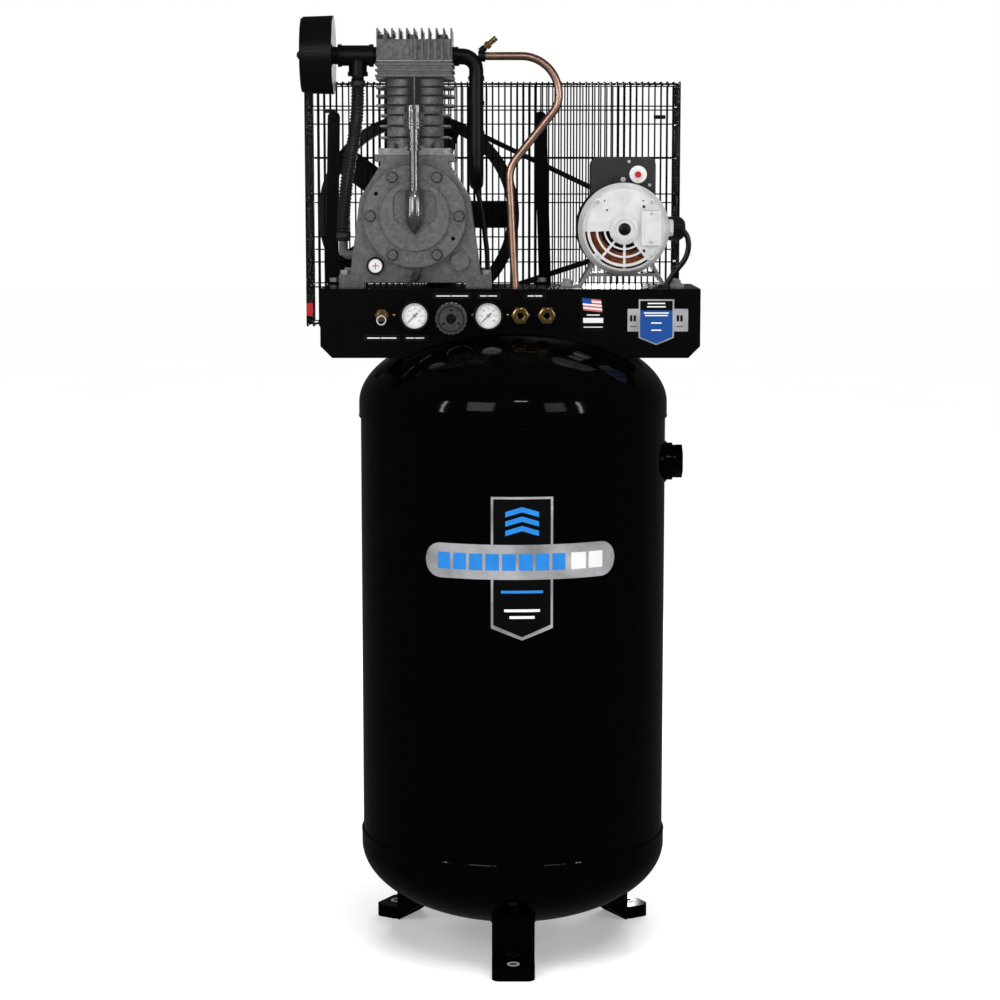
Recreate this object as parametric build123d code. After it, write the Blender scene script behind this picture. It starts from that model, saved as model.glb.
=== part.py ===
from build123d import *
from math import asin, cos, degrees, hypot, radians, sin
import os

# Vertical tank compressor: an 80 gallon tank on three feet, with a deck on top that
# carries a two-stage pump, its motor, the belt guard and the air controls.
# Origin: floor level on the tank's axis. +Z is up, and the control panel faces -Y.

# Tank
TANK_R = 305.0
TANK_WALL = 4.0
HEAD_WALL = 3.2
HEAD_R = TANK_R + HEAD_WALL
HEAD_RISE = 152.5
SKIRT = 25.0
TANGENT_LOW = 203.0
TANGENT_HIGH = 1101.0
PORT_Z = 980.5

# Feet
FOOT_HALF = 42.0
FOOT_SHEET = 5.0
FOOT_WEB_R = 250.0
FOOT_TIP_R = 310.0
FOOT_TRAY = 26.0
FOOT_BOLT_R = 283.0
FOOT_HOLE_R = 7.0
SPINDLE_R = 4.0

# Deck
DECK_TOP = 1331.0
DECK_SHEET = 4.0
DECK_LEFT = -376.5
DECK_RIGHT = 364.5
DECK_FRONT = -120.0
DECK_REAR = 125.0
APRON_LOW = 1196.5
APRON_CORNER = 23.0
FLANGE_LOW = 1290.0
ARCH_GAP = 1.5

# Pump, on the crankshaft's axis
PUMP_X = -193.0
CRANK_Z = 1471.0
CRANK_THROW = 36.0
CRANKPIN_R = 14.0
PLUG_R = 3.5
JOURNAL_R = 17.5
ROD_LENGTH = 203.0
LOW_Y = -4.0
HIGH_Y = 82.0
LOW_BORE = 46.0
HIGH_BORE = 24.0
CASE_FRONT = -60.0
CASE_REAR = 116.0
CYLINDER_LOW = 1591.0
CYLINDER_HIGH = 1740.0
HEAD_LOW = 1772.0
HEAD_FLOOR = 1813.0
FIN_TOP = 1834.0
DOME_TOP = TANGENT_HIGH + HEAD_RISE + 0.1
BREATHER_Y = -86.0
PORT_HEIGHT = 1784.0
HOSE_X = -340.0
HOSE_R = 12.5
BEARING_OUTER = 36.0
BEARING_WIDTH = 17.0
RUNNING = 0.05

# Belt drive
FLYWHEEL_R = 206.5
PULLEY_R = 54.0
RIM_FRONT = 168.0
RIM_REAR = 214.0
BELT_YS = (181.0, 201.0)
BELT_WIDTH = 13.0
BELT_THICK = 10.0
GROOVE_DEPTH = 12.0

# Motor
MOTOR_X = 217.0
MOTOR_Z = 1446.0
MOTOR_R = 90.0
MOTOR_FRONT = -55.0
MOTOR_REAR = 95.0
BELL_FRONT = -90.0
SHAFT_R = 14.0
BUTTON_R = 5.7
VENT_ROWS = ((30.0, 37.0), (40.5, 52.0), (56.0, 67.5), (73.0, 77.0))
VENT_SPOKES = (182.0, 231.0, 270.0, 308.0)
SPOKE_HALF = 2.2
CABLE_R = 5.5
CABLE_Y = -45.0
LEAD_DOME_R = 23.5
LEAD_DOME_Y = -15.0

# Control panel
CONTROL_Z = 1280.0
KNOB_Z = 1275.0
SAFETY_X = -256.0
GAUGE_XS = (-191.6, -48.6)
KNOB_X = -120.5
OUTLET_XS = (13.5, 65.0)
GAUGE_R = 28.0
NEEDLE_PIN_R = 1.2
KNOB_SPINDLE_R = 6.0
MANIFOLD_Y = -85.0

# Belt guard
GUARD_LEFT = -423.5
GUARD_RIGHT = 341.0
GUARD_LOW = 1242.0
GUARD_HIGH = 1740.0
GUARD_FRONT = 135.0
GUARD_REAR = 345.0
GUARD_SPLIT = 240.0
WIRE = 3.0
WIRE_PITCH = 12.7
SHAFT_GAP = 34.0
FRONT_LEVELS = (1324, 1375, 1426, 1513, 1587, 1654, 1690)
REAR_LEVELS = (1324, 1395, 1494, 1587, 1688)
POST_FEET = (-370.0, 66.0)
POST_HEADS = (-363.0, 56.0)
POST_HALF = 12.5
POST_TAB = 6.0

AXES = {"X": Rot(0, 90, 0), "Y": Rot(-90, 0, 0), "Z": Rot(0, 0, 0)}
RISE = (Align.CENTER, Align.CENTER, Align.MIN)


def rod(radius, length, at, axis="Z"):
    """A cylinder that starts at a point and runs along +axis."""
    return Pos(*at) * AXES[axis] * Cylinder(radius, length, align=RISE)


def cone(r_start, r_end, length, at, axis="Z"):
    return Pos(*at) * AXES[axis] * Cone(r_start, r_end, length, align=RISE)


def block(x0, x1, y0, y1, z0, z1):
    centre = Pos((x0 + x1) / 2, (y0 + y1) / 2, (z0 + z1) / 2)
    return centre * Box(x1 - x0, y1 - y0, z1 - z0)


def hexagon(flats, length, at, axis="Z"):
    prism = extrude(RegularPolygon(flats / 2, 6, major_radius=False), length)
    return Pos(*at) * AXES[axis] * prism


def upright(points, y0, y1):
    """A prism whose XZ outline runs from y0 to y1."""
    face = Plane.XZ * make_face(Polyline(*points, close=True))
    return Pos(0, y0, 0) * extrude(face, -(y1 - y0))


def rounded_upright(x0, x1, z0, z1, y0, y1, radius):
    face = Plane.XZ * (Pos((x0 + x1) / 2, (z0 + z1) / 2) * RectangleRounded(x1 - x0, z1 - z0, radius))
    return Pos(0, y0, 0) * extrude(face, -(y1 - y0))


def swept(points, radii, radius):
    """A round bar along straight runs joined by tangent arcs."""
    path = FilletPolyline(*points, radius=radii)
    start = Plane(path @ 0, z_dir=path % 0)
    return sweep(start * Circle(radius), path=path)


def spheroid(radius, rise, z):
    """A solid of revolution about the tank's axis, wider than it is tall."""
    arc = EllipticalCenterArc((0, 0), radius, rise, start_angle=-90, arc_size=180)
    half = make_face(arc + Line(arc @ 1, arc @ 0))
    return Pos(0, 0, z) * revolve(Plane.XZ * half, Axis.Z)


def torus(major, minor, at, axis="Z"):
    return Pos(*at) * AXES[axis] * Torus(major, minor)


# ---------------------------------------------------------------- tank


def tank_shell():
    height = TANGENT_HIGH - TANGENT_LOW
    shell = rod(TANK_R, height, (0, 0, TANGENT_LOW))
    shell -= rod(TANK_R - TANK_WALL, height, (0, 0, TANGENT_LOW))
    collar = rod(37.5, 30, (TANK_R - 15, 0, PORT_Z), "X")
    collar -= rod(TANK_R, 90, (0, 0, PORT_Z - 45))
    shell += collar
    return shell - rod(24, 60, (TANK_R - 30, 0, PORT_Z), "X")


def tank_head(tangent, up):
    """An elliptical head whose skirt fits outside the shell."""
    outer = spheroid(HEAD_R, HEAD_RISE, tangent)
    inner = spheroid(TANK_R, HEAD_RISE - HEAD_WALL, tangent)
    keep = rod(400, 200, (0, 0, tangent if up else tangent - 200))
    cap = (outer - inner) & keep
    skirt_z = tangent - SKIRT if up else tangent
    skirt = rod(HEAD_R, SKIRT, (0, 0, skirt_z)) - rod(TANK_R, SKIRT, (0, 0, skirt_z))
    return cap + skirt


def tank_foot(angle):
    """A pressed channel: an upright web, two side flanges and an outer tray."""
    middle = (FOOT_WEB_R + FOOT_TIP_R) / 2
    length = FOOT_TIP_R - FOOT_WEB_R
    tray = extrude(Pos(middle, 0) * RectangleRounded(length, 2 * FOOT_HALF, 16), FOOT_TRAY)
    inside = RectangleRounded(length - 10, 2 * FOOT_HALF - 10, 11)
    tray -= extrude(Pos(middle, 0) * inside, FOOT_TRAY - FOOT_SHEET)
    tray += rod(FOOT_HOLE_R + 6, FOOT_TRAY - 1, (FOOT_BOLT_R, 0, 0))
    tray -= rod(FOOT_HOLE_R, 60, (FOOT_BOLT_R, 0, -5))
    web = block(FOOT_WEB_R, FOOT_WEB_R + FOOT_SHEET, -FOOT_HALF, FOOT_HALF, 0, 135)
    foot = tray + web
    web_face = FOOT_WEB_R + FOOT_SHEET
    side = ((FOOT_WEB_R, 0), (web_face, 0), (web_face, 135), (150, 135), (165, 66))
    for edge in (-FOOT_HALF, FOOT_HALF - FOOT_SHEET):
        foot += upright(side, edge, edge + FOOT_SHEET)
    foot -= spheroid(HEAD_R, HEAD_RISE, TANGENT_LOW)
    return Rot(0, 0, angle) * foot


def side_port_plug():
    plug = rod(23.9, 30, (TANK_R - 12, 0, PORT_Z), "X")
    plug += rod(33, 6, (TANK_R + 15, 0, PORT_Z), "X")
    return plug + hexagon(58, 14, (TANK_R + 21, 0, PORT_Z), "X")


def tank_drain_valve():
    """A drain cock under the tank, with a side spout and a spindle below for its lever."""
    body = rod(11, 13.4, (0, 0, 37)) + hexagon(26, 12, (0, 0, 27))
    body += rod(6, 26, (0, -26, 33), "Y")
    body += rod(SPINDLE_R, 16, (0, 0, 12.2))
    return body - rod(3.5, 24, (0, -27, 33), "Y")


def tank_drain_handle():
    lever = rod(8, 9, (0, 0, 11)) + block(0, 46, -4, 4, 12, 16)
    return lever - rod(SPINDLE_R + RUNNING, 9, (0, 0, 12))


# ---------------------------------------------------------------- deck


def deck_platform():
    plate = block(DECK_LEFT, DECK_RIGHT, DECK_FRONT, DECK_REAR, DECK_TOP - DECK_SHEET, DECK_TOP)
    low = APRON_LOW
    corner = APRON_CORNER
    outline = (
        (DECK_LEFT, DECK_TOP),
        (DECK_RIGHT, DECK_TOP),
        (DECK_RIGHT, low + corner),
        (DECK_RIGHT - corner, low),
        (DECK_LEFT + corner, low),
        (DECK_LEFT, low + corner),
    )
    apron = upright(outline, DECK_FRONT, DECK_FRONT + DECK_SHEET)
    apron -= spheroid(HEAD_R + ARCH_GAP, HEAD_RISE + ARCH_GAP, TANGENT_HIGH)
    deck = plate + apron
    deck += block(DECK_LEFT, DECK_RIGHT, DECK_REAR - DECK_SHEET, DECK_REAR, FLANGE_LOW, DECK_TOP)
    for x in (DECK_LEFT, DECK_RIGHT - DECK_SHEET):
        deck += block(x, x + DECK_SHEET, DECK_FRONT, DECK_REAR, FLANGE_LOW, DECK_TOP)
    for x, z, r in panel_holes():
        deck -= rod(r, 20, (x, DECK_FRONT - 8, z), "Y")
    for x, y, r in deck_holes():
        deck -= rod(r, 20, (x, y, DECK_TOP - 12))
    return deck


def panel_holes():
    holes = [(SAFETY_X, CONTROL_Z, 9.0), (KNOB_X, KNOB_Z, 16.0)]
    holes += [(x, CONTROL_Z, 8.0) for x in GAUGE_XS]
    holes += [(x, CONTROL_Z, 10.5) for x in OUTLET_XS]
    return holes


def deck_holes():
    return [(5.5, 0, 14.0), (-50, 33, 9.0), (300, CABLE_Y, 8.0)]


def deck_brackets():
    saddles = Part()
    for x in (-204, 196):
        plate = block(x, x + 8, -60, 115, 1180, DECK_TOP - DECK_SHEET)
        saddles += plate - spheroid(HEAD_R, HEAD_RISE, TANGENT_HIGH)
    return saddles


# ---------------------------------------------------------------- pump castings


def mirrored(half):
    """A closed outline about the pump's axis from its right half, listed upwards."""
    right = [(PUMP_X + x, z) for x, z in half]
    left = [(PUMP_X - x, z) for x, z in reversed(half)]
    return right + left


def crankcase():
    outline = mirrored([(128, 1341), (128, 1356), (108, 1506), (65, 1574), (65, 1580)])
    case = upright(outline, CASE_FRONT, CASE_REAR)
    case += block(PUMP_X - 78, PUMP_X + 78, CASE_FRONT, CASE_REAR, 1577, CYLINDER_LOW)
    for side in (-1, 1):
        near = PUMP_X + side * 100
        far = PUMP_X + side * 150
        for y in (CASE_FRONT, CASE_REAR - 42):
            case += block(min(near, far), max(near, far), y, y + 42, DECK_TOP, 1356)
    case += rod(52, 28, (PUMP_X, 102, CRANK_Z), "Y")
    case -= upright(mirrored([(114, 1353), (97, 1500), (56, 1566), (56, 1569)]), CASE_FRONT + 9, 104)
    case -= rod(85, 12, (PUMP_X, CASE_FRONT - 1, CRANK_Z), "Y")
    case -= rod(BEARING_OUTER, 24, (PUMP_X, 100, CRANK_Z), "Y")
    case -= rod(19, 40, (PUMP_X, 100, CRANK_Z), "Y")
    case -= rod(LOW_BORE + 3, 40, (PUMP_X, LOW_Y, 1560))
    case -= rod(HIGH_BORE + 6, 40, (PUMP_X, HIGH_Y, 1560))
    case -= rod(13, 20, (PUMP_X - 78, CASE_FRONT - 2, 1374), "Y")
    case -= rod(7, 20, (PUMP_X + 1, CASE_FRONT - 2, 1353), "Y")
    case += rod(18, 5, (PUMP_X + 88, CASE_FRONT - 5, 1382), "Y")
    case += swept(((PUMP_X - 112, 40, 1392), (HOSE_X, 40, 1392), (HOSE_X, 40, 1420)), [14], 9)
    return case


def bearing_cover():
    """The round front cover, with the bullet-shaped boss that holds the breather."""
    cover = rod(100, 15, (PUMP_X, -75, CRANK_Z), "Y")
    cover += rod(67.5, 6, (PUMP_X, -81, CRANK_Z), "Y")
    spigot = rod(84.8, 10, (PUMP_X, CASE_FRONT, CRANK_Z), "Y")
    cover += spigot - rod(70, 12, (PUMP_X, CASE_FRONT, CRANK_Z), "Y")
    cover += rod(45, 20, (PUMP_X, CASE_FRONT, CRANK_Z), "Y")
    recess = rounded_upright(PUMP_X - 42, PUMP_X + 42, 1455, 1522, -82, -78, 20)
    cover -= recess & rod(60, 10, (PUMP_X, -84, CRANK_Z), "Y")
    cover += rod(19, 45, (PUMP_X, BREATHER_Y, 1475))
    curve = ThreePointArc((1.5, 1436), (13, 1451), (19, 1475))
    outline = curve + Polyline((19, 1475), (0, 1475), (0, 1436), (1.5, 1436))
    cover += Pos(PUMP_X, BREATHER_Y, 0) * revolve(Plane.XZ * make_face(outline), Axis.Z)
    cover -= rod(BEARING_OUTER, 30, (PUMP_X, CASE_FRONT, CRANK_Z), "Y")
    cover -= rod(10, 45, (PUMP_X, BREATHER_Y, 1500))
    for turn in (150, -30):
        x, z = on_circle(87, turn)
        cover -= rod(4, 20, (x, -80, z), "Y")
    return cover


def on_circle(radius, turn):
    """A point about the crankshaft's axis, by its angle above the horizontal."""
    return PUMP_X + radius * cos(radians(turn)), CRANK_Z + radius * sin(radians(turn))


def main_bearings():
    bearings = Part()
    for y in (CASE_FRONT + 1, 106):
        ring = rod(BEARING_OUTER, BEARING_WIDTH, (PUMP_X, y, CRANK_Z), "Y")
        bearings += ring - rod(JOURNAL_R + RUNNING, BEARING_WIDTH, (PUMP_X, y, CRANK_Z), "Y")
    return bearings


def cylinder_block():
    height = CYLINDER_HIGH - CYLINDER_LOW
    barrel = rod(56, height, (PUMP_X, LOW_Y, CYLINDER_LOW))
    barrel += rod(40, height, (PUMP_X, HIGH_Y, CYLINDER_LOW))
    barrel += block(PUMP_X - 70, PUMP_X + 70, -60, 114, CYLINDER_LOW, CYLINDER_LOW + 12)
    wide = [(z, 76.5) for z in (1739, 1722, 1705.5, 1687)]
    narrow = [(z, 69) for z in (1668, 1647, 1625)]
    for z, half in wide + narrow:
        fin = extrude(Pos(PUMP_X, 28) * RectangleRounded(2 * half, 176, 28), 3.5)
        barrel += Pos(0, 0, z - 2.5) * fin
    barrel += block(PUMP_X - 3, PUMP_X + 3, -60, -50, 1687, CYLINDER_HIGH)
    barrel -= rod(LOW_BORE, height, (PUMP_X, LOW_Y, CYLINDER_LOW))
    return barrel - rod(HIGH_BORE, height, (PUMP_X, HIGH_Y, CYLINDER_LOW))


def valve_plate():
    plate = block(PUMP_X - 72, PUMP_X + 72, -58, 114, CYLINDER_HIGH, HEAD_LOW)
    for z in (1741, 1752, 1763):
        plate += block(PUMP_X - 76.5, PUMP_X + 76.5, -61, 117, z, z + 4)
    for x in (-32, -12, 12, 32):
        plate -= rod(4, 60, (PUMP_X + x, LOW_Y, CYLINDER_HIGH - 10))
    return plate - rod(4, 60, (PUMP_X, HIGH_Y, CYLINDER_HIGH - 10))


def cylinder_head():
    head = block(PUMP_X - 73.5, PUMP_X + 73.5, -60, 116, HEAD_LOW, HEAD_FLOOR)
    for number in range(11):
        x = PUMP_X - 72 + 14.4 * number
        head += block(x - 1.5, x + 1.5, -60, 116, HEAD_FLOOR, FIN_TOP)
    for number in range(6):
        x = PUMP_X + 2 + 13 * number
        head += block(x - 2.5, x + 2.5, -64, -60, HEAD_LOW, HEAD_FLOOR)
    head += block(PUMP_X - 68, PUMP_X - 10, -62, -60, HEAD_LOW + 4, HEAD_FLOOR - 3)
    for x, y in head_bolt_places():
        head -= rod(12, 30, (x, y, HEAD_FLOOR))
    head -= block(PUMP_X - 60, PUMP_X + 60, -46, 36, HEAD_LOW, HEAD_FLOOR - 10)
    head -= block(PUMP_X - 60, PUMP_X + 60, 48, 102, HEAD_LOW, HEAD_FLOOR - 10)
    for y in (LOW_Y, 70):
        head -= rod(10, 20, (PUMP_X + 58, y, PORT_HEIGHT), "X")
    return head - rod(10, 20, (PUMP_X - 76, LOW_Y, PORT_HEIGHT), "X")


def head_bolt_places():
    return [(PUMP_X + x, y) for x in (-57, -4, 56) for y in (-46, 30, 102)]


def pump_bolts():
    """Cover bolts, head bolts and the nuts at the foot of the cylinders."""
    bolts = Part()
    for turn in range(0, 360, 60):
        x, z = on_circle(87, turn)
        bolts += hexagon(17, 9, (x, -84, z), "Y")
    for x, y in head_bolt_places():
        bolts += hexagon(16, 9, (x, y, HEAD_FLOOR))
    for side in (-1, 1):
        for y in (-52, 108):
            bolts += hexagon(15, 10, (PUMP_X + side * 44, y, CYLINDER_LOW + 12))
    return bolts


def deck_bolts():
    """Bolts that hold the pump, the motor base and the guard posts on the deck."""
    bolts = Part()
    for side in (-1, 1):
        for y in (CASE_FRONT + 21, CASE_REAR - 21):
            bolts += hexagon(17, 9, (PUMP_X + side * 139, y, 1356))
        for y in (-10, 65):
            bolts += hexagon(15, 8, (MOTOR_X + side * 108, y, DECK_TOP + 5))
    for foot in POST_FEET:
        bolts += hexagon(15, 8, (foot_tab(foot), 107, DECK_TOP + 5))
    return bolts


def sight_glass():
    """The oil sight glass in the lower corner of the crankcase."""
    glass = rod(12.9, 8, (PUMP_X - 78, CASE_FRONT, 1374), "Y")
    return glass + rod(16, 5, (PUMP_X - 78, CASE_FRONT - 5, 1374), "Y")


def oil_drain_plug():
    x = PUMP_X + 1
    plug = rod(6.9, 8, (x, CASE_FRONT, 1353), "Y")
    plug += hexagon(18, 8, (x, CASE_FRONT - 8, 1353), "Y")
    plug += rod(6, 14, (x, CASE_FRONT - 22, 1353), "Y")
    plug += Pos(x, CASE_FRONT - 18, 1353) * Rot(0, -48, 0) * Box(44, 4, 7)
    return plug


def breather():
    """The crankcase breather: a tube in the cover's boss, a fitting and a slotted cap."""
    tube = rod(9.95, 95, (PUMP_X, BREATHER_Y, 1502))
    tube += rod(14, 6, (PUMP_X, BREATHER_Y, 1597))
    tube += rod(12, 36, (PUMP_X, BREATHER_Y, 1603))
    for z in (1609, 1627):
        tube += rod(14, 5, (PUMP_X, BREATHER_Y, z))
    cap = rod(19, 46, (PUMP_X, BREATHER_Y, 1639))
    for turn in range(0, 180, 60):
        slot = Pos(PUMP_X, BREATHER_Y, 1681) * Rot(0, 0, turn + 30) * Box(50, 6, 10)
        cap -= slot - rod(11, 20, (PUMP_X, BREATHER_Y, 1670))
    return Compound(children=[tube, cap])


# ---------------------------------------------------------------- crank train


def crankshaft():
    """Two throws half a turn apart between round webs, the low-pressure one at the bottom."""
    shaft = rod(JOURNAL_R, 33, (PUMP_X, -59, CRANK_Z), "Y")
    for y in (-26, 6, 60, 92):
        shaft += rod(56, 12, (PUMP_X, y, CRANK_Z), "Y")
    shaft += rod(JOURNAL_R, 42, (PUMP_X, 18, CRANK_Z), "Y")
    shaft += rod(CRANKPIN_R, 20, (PUMP_X, LOW_Y - 10, CRANK_Z - CRANK_THROW), "Y")
    shaft += rod(CRANKPIN_R, 20, (PUMP_X, HIGH_Y - 10, CRANK_Z + CRANK_THROW), "Y")
    shaft += rod(JOURNAL_R, 54, (PUMP_X, 104, CRANK_Z), "Y")
    shaft += rod(16, 62, (PUMP_X, 158, CRANK_Z), "Y")
    shaft -= rod(PLUG_R + RUNNING, 5, (PUMP_X, -19, CRANK_Z - CRANK_THROW / 2), "Y")
    return shaft - rod(PLUG_R + RUNNING, 5, (PUMP_X, 92, CRANK_Z + CRANK_THROW / 2), "Y")


def web_plug(y, z):
    """A round plug in a crank web, halfway out to the crankpin."""
    return rod(PLUG_R, 4.5, (PUMP_X, y, z), "Y")


def piston(y, bore, pin_z):
    """A hollow piston with three ring grooves, whose pin sits 28 below the crown."""
    radius = bore - 0.3
    crown = pin_z + 28
    body = rod(radius, 50, (PUMP_X, y, crown - 50))
    body -= rod(radius - 6, 40, (PUMP_X, y, crown - 50))
    for z in (crown - 8, crown - 13, crown - 18):
        body -= rod(radius + 1, 2, (PUMP_X, y, z)) - rod(radius - 2, 2, (PUMP_X, y, z))
    for side in (-1, 1):
        face = y + side * 9
        wall = y + side * (radius - 3)
        body += rod(11, abs(wall - face), (PUMP_X, min(face, wall), pin_z), "Y")
    body -= rod(7, 2 * bore, (PUMP_X, y - bore, pin_z), "Y")
    return body & rod(radius, 50, (PUMP_X, y, crown - 50))


def connecting_rod(y, bore, pin_z):
    """A rod with its wrist pin. The big end is a slot, wide enough for the crankpin's swing."""
    low = pin_z - ROD_LENGTH
    reach = CRANK_THROW + CRANKPIN_R + 1
    half_slot = CRANKPIN_R + 0.3
    big = rounded_upright(PUMP_X - reach - 7, PUMP_X + reach + 7, low - 23, low + 23, y - 8, y + 8, 20)
    big -= rounded_upright(PUMP_X - reach, PUMP_X + reach, low - half_slot, low + half_slot, y - 9, y + 9, 14)
    shank = block(PUMP_X - 9, PUMP_X + 9, y - 7, y + 7, low + 20, pin_z - 8)
    small = rod(12, 16, (PUMP_X, y - 8, pin_z), "Y")
    arm = (big + shank + small) - rod(7, 30, (PUMP_X, y - 15, pin_z), "Y")
    pin = rod(7, 2 * (bore - 4), (PUMP_X, y - bore + 4, pin_z), "Y")
    return Compound(children=[arm, pin])


def wheel_rim(x, z, radius, thick):
    rim = rod(radius, RIM_REAR - RIM_FRONT, (x, RIM_FRONT, z), "Y")
    if thick:
        rim -= rod(radius - thick, RIM_REAR - RIM_FRONT, (x, RIM_FRONT, z), "Y")
    width = BELT_WIDTH + 1
    for y in BELT_YS:
        groove = rod(radius + 5, width, (x, y - width / 2, z), "Y")
        rim -= groove - rod(radius - GROOVE_DEPTH, width, (x, y - width / 2, z), "Y")
    return rim


def flywheel():
    """A cast flywheel whose five wide spokes are pitched to blow air over the pump."""
    wheel = wheel_rim(PUMP_X, CRANK_Z, FLYWHEEL_R, 24)
    hub = rod(36, 58, (PUMP_X, 162, CRANK_Z), "Y")
    for number in range(5):
        spoke = Pos(0, 0, FLYWHEEL_R / 2) * Rot(0, 0, 24) * Box(56, 12, FLYWHEEL_R - 44)
        wheel += Pos(PUMP_X, 191, CRANK_Z) * Rot(0, 72 * number + 18, 0) * spoke
    wheel += hub
    wheel -= rod(16, 80, (PUMP_X, 150, CRANK_Z), "Y")
    bolt = rod(24, 4, (PUMP_X, 220, CRANK_Z), "Y") + hexagon(24, 12, (PUMP_X, 224, CRANK_Z), "Y")
    return Compound(children=[wheel, bolt])


def motor_pulley():
    pulley = wheel_rim(MOTOR_X, MOTOR_Z, PULLEY_R, 0)
    return pulley - rod(SHAFT_R, 80, (MOTOR_X, 150, MOTOR_Z), "Y")


def belt_outline(shrink):
    """The outline of a belt round both wheels: two tangent lines and two arcs."""
    big = FLYWHEEL_R - 0.4 - shrink
    small = PULLEY_R - 0.4 - shrink
    span = hypot(MOTOR_X - PUMP_X, MOTOR_Z - CRANK_Z)
    tilt = degrees(asin((CRANK_Z - MOTOR_Z) / span))
    lean = degrees(asin((big - small) / span))
    top = radians(90 - tilt - lean)
    bottom = radians(-90 - tilt + lean)
    big_top = (PUMP_X + big * cos(top), CRANK_Z + big * sin(top))
    big_low = (PUMP_X + big * cos(bottom), CRANK_Z + big * sin(bottom))
    small_top = (MOTOR_X + small * cos(top), MOTOR_Z + small * sin(top))
    small_low = (MOTOR_X + small * cos(bottom), MOTOR_Z + small * sin(bottom))
    back = radians(180 - tilt)
    far = (PUMP_X + big * cos(back), CRANK_Z + big * sin(back))
    nose = (MOTOR_X - small * cos(back), MOTOR_Z - small * sin(back))
    edge = Line(big_top, small_top)
    edge += ThreePointArc(small_top, nose, small_low)
    edge += Line(small_low, big_low)
    edge += ThreePointArc(big_low, far, big_top)
    return make_face(edge)


def drive_belts():
    belts = []
    for y in BELT_YS:
        ring = Plane.XZ * (belt_outline(0) - belt_outline(BELT_THICK))
        belts.append(Pos(0, y - BELT_WIDTH / 2, 0) * extrude(ring, -BELT_WIDTH))
    return Compound(children=belts)


# ---------------------------------------------------------------- pipework


def intake_tee():
    tee = rod(17, 86.5, (-353, LOW_Y, PORT_HEIGHT), "X")
    tee += rod(20, 62, (-337, LOW_Y, PORT_HEIGHT), "X")
    tee += rod(22, 8, (-345, LOW_Y, PORT_HEIGHT), "X")
    tee += rod(22, 8, (-283, LOW_Y, PORT_HEIGHT), "X")
    tee += rod(18, 40, (-306, LOW_Y, 1744))
    tee += rod(20, 8, (-306, LOW_Y, 1744))
    tee -= rod(12, 88, (-354, LOW_Y, PORT_HEIGHT), "X")
    return tee - rod(11, 40, (-306, LOW_Y, 1744))


def intake_filter():
    """A round filter can on its side, with a wing nut on its outer face."""
    can = cone(74, 76.5, 58, (-411, LOW_Y, 1785), "X")
    can += rod(72, 5, (-416, LOW_Y, 1785), "X")
    can -= cone(70, 72.5, 50, (-407, LOW_Y, 1785), "X")
    can -= rod(14, 20, (-362, LOW_Y, PORT_HEIGHT), "X")
    stud = rod(4, 16, (-426, LOW_Y, 1785), "X")
    wings = hexagon(13, 6, (-424, LOW_Y, 1785), "X") + block(-424, -420, LOW_Y - 13, LOW_Y + 13, 1781, 1789)
    return Compound(children=[can - rod(4, 30, (-430, LOW_Y, 1785), "X"), stud + wings])


def breather_hose():
    points = (
        (-306, LOW_Y, 1744),
        (-306, LOW_Y, 1705),
        (-311, 8, 1645),
        (-325, 20, 1578),
        (-335, 32, 1515),
        (HOSE_X, 40, 1458),
        (HOSE_X, 40, 1420),
    )
    return swept(points, bend_radii(points), HOSE_R)


def bend_radii(points):
    """For each corner, 0.45 of the shorter run over the tangent of half the turn."""
    radii = []
    for before, here, after in zip(points, points[1:], points[2:]):
        first = Vector(*here) - Vector(*before)
        second = Vector(*after) - Vector(*here)
        half = radians(first.get_angle(second) / 2)
        radii.append(0.45 * min(first.length, second.length) * cos(half) / sin(half))
    print("bend radii", [round(r) for r in radii])
    return radii


def intercooler_pipe():
    """A hairpin from the low-pressure outlet to the high-pressure inlet, with its drain."""
    side = PUMP_X + 73.5
    points = (
        (side, LOW_Y, PORT_HEIGHT),
        (-73, LOW_Y, PORT_HEIGHT),
        (-73, LOW_Y, 1535),
        (-73, 70, 1535),
        (-73, 70, PORT_HEIGHT),
        (side, 70, PORT_HEIGHT),
    )
    pipe = swept(points, [28, 36, 36, 28], 14)
    for y in (LOW_Y, 70):
        pipe += rod(17, 12, (side, y, PORT_HEIGHT), "X")
        for z in (1590, 1632, 1690, 1738):
            pipe += rod(16, 6, (-73, y, z))
    pipe += swept(((-73, 33, 1530), (-62, 33, 1480), (-52, 33, 1400), (-50, 33, 1322)), [60, 120], 5)
    pipe += rod(11, 14, (-69, LOW_Y, 1783), "X")
    return pipe


def interstage_valve():
    """A small brass relief valve that leans out of the elbow."""
    valve = rod(5, 16, (0, 0, 0)) + hexagon(13, 8, (0, 0, 6)) + rod(5.5, 18, (0, 0, 14))
    return Pos(-57.8, LOW_Y, 1797.9) * Rot(0, 50, 0) * valve


DISCHARGE = ((-55, LOW_Y, 1783), (90, LOW_Y, 1783), (90, LOW_Y, 1688), (-8, LOW_Y, 1566), (5.5, 0, 1296))


def discharge_tube():
    return swept(DISCHARGE, [74, 50, 60], 8)


def check_valve():
    """The check valve between the dome and the copper tube, with a socket for the tube."""
    valve = hexagon(30, 20, (5.5, 0, 1270)) + rod(13, 14, (5.5, 0, 1290))
    valve += rod(15, 17, (5.5, 0, DOME_TOP))
    return valve - rod(9, 12, (5.5, 0, 1295))


# ---------------------------------------------------------------- motor


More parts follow.
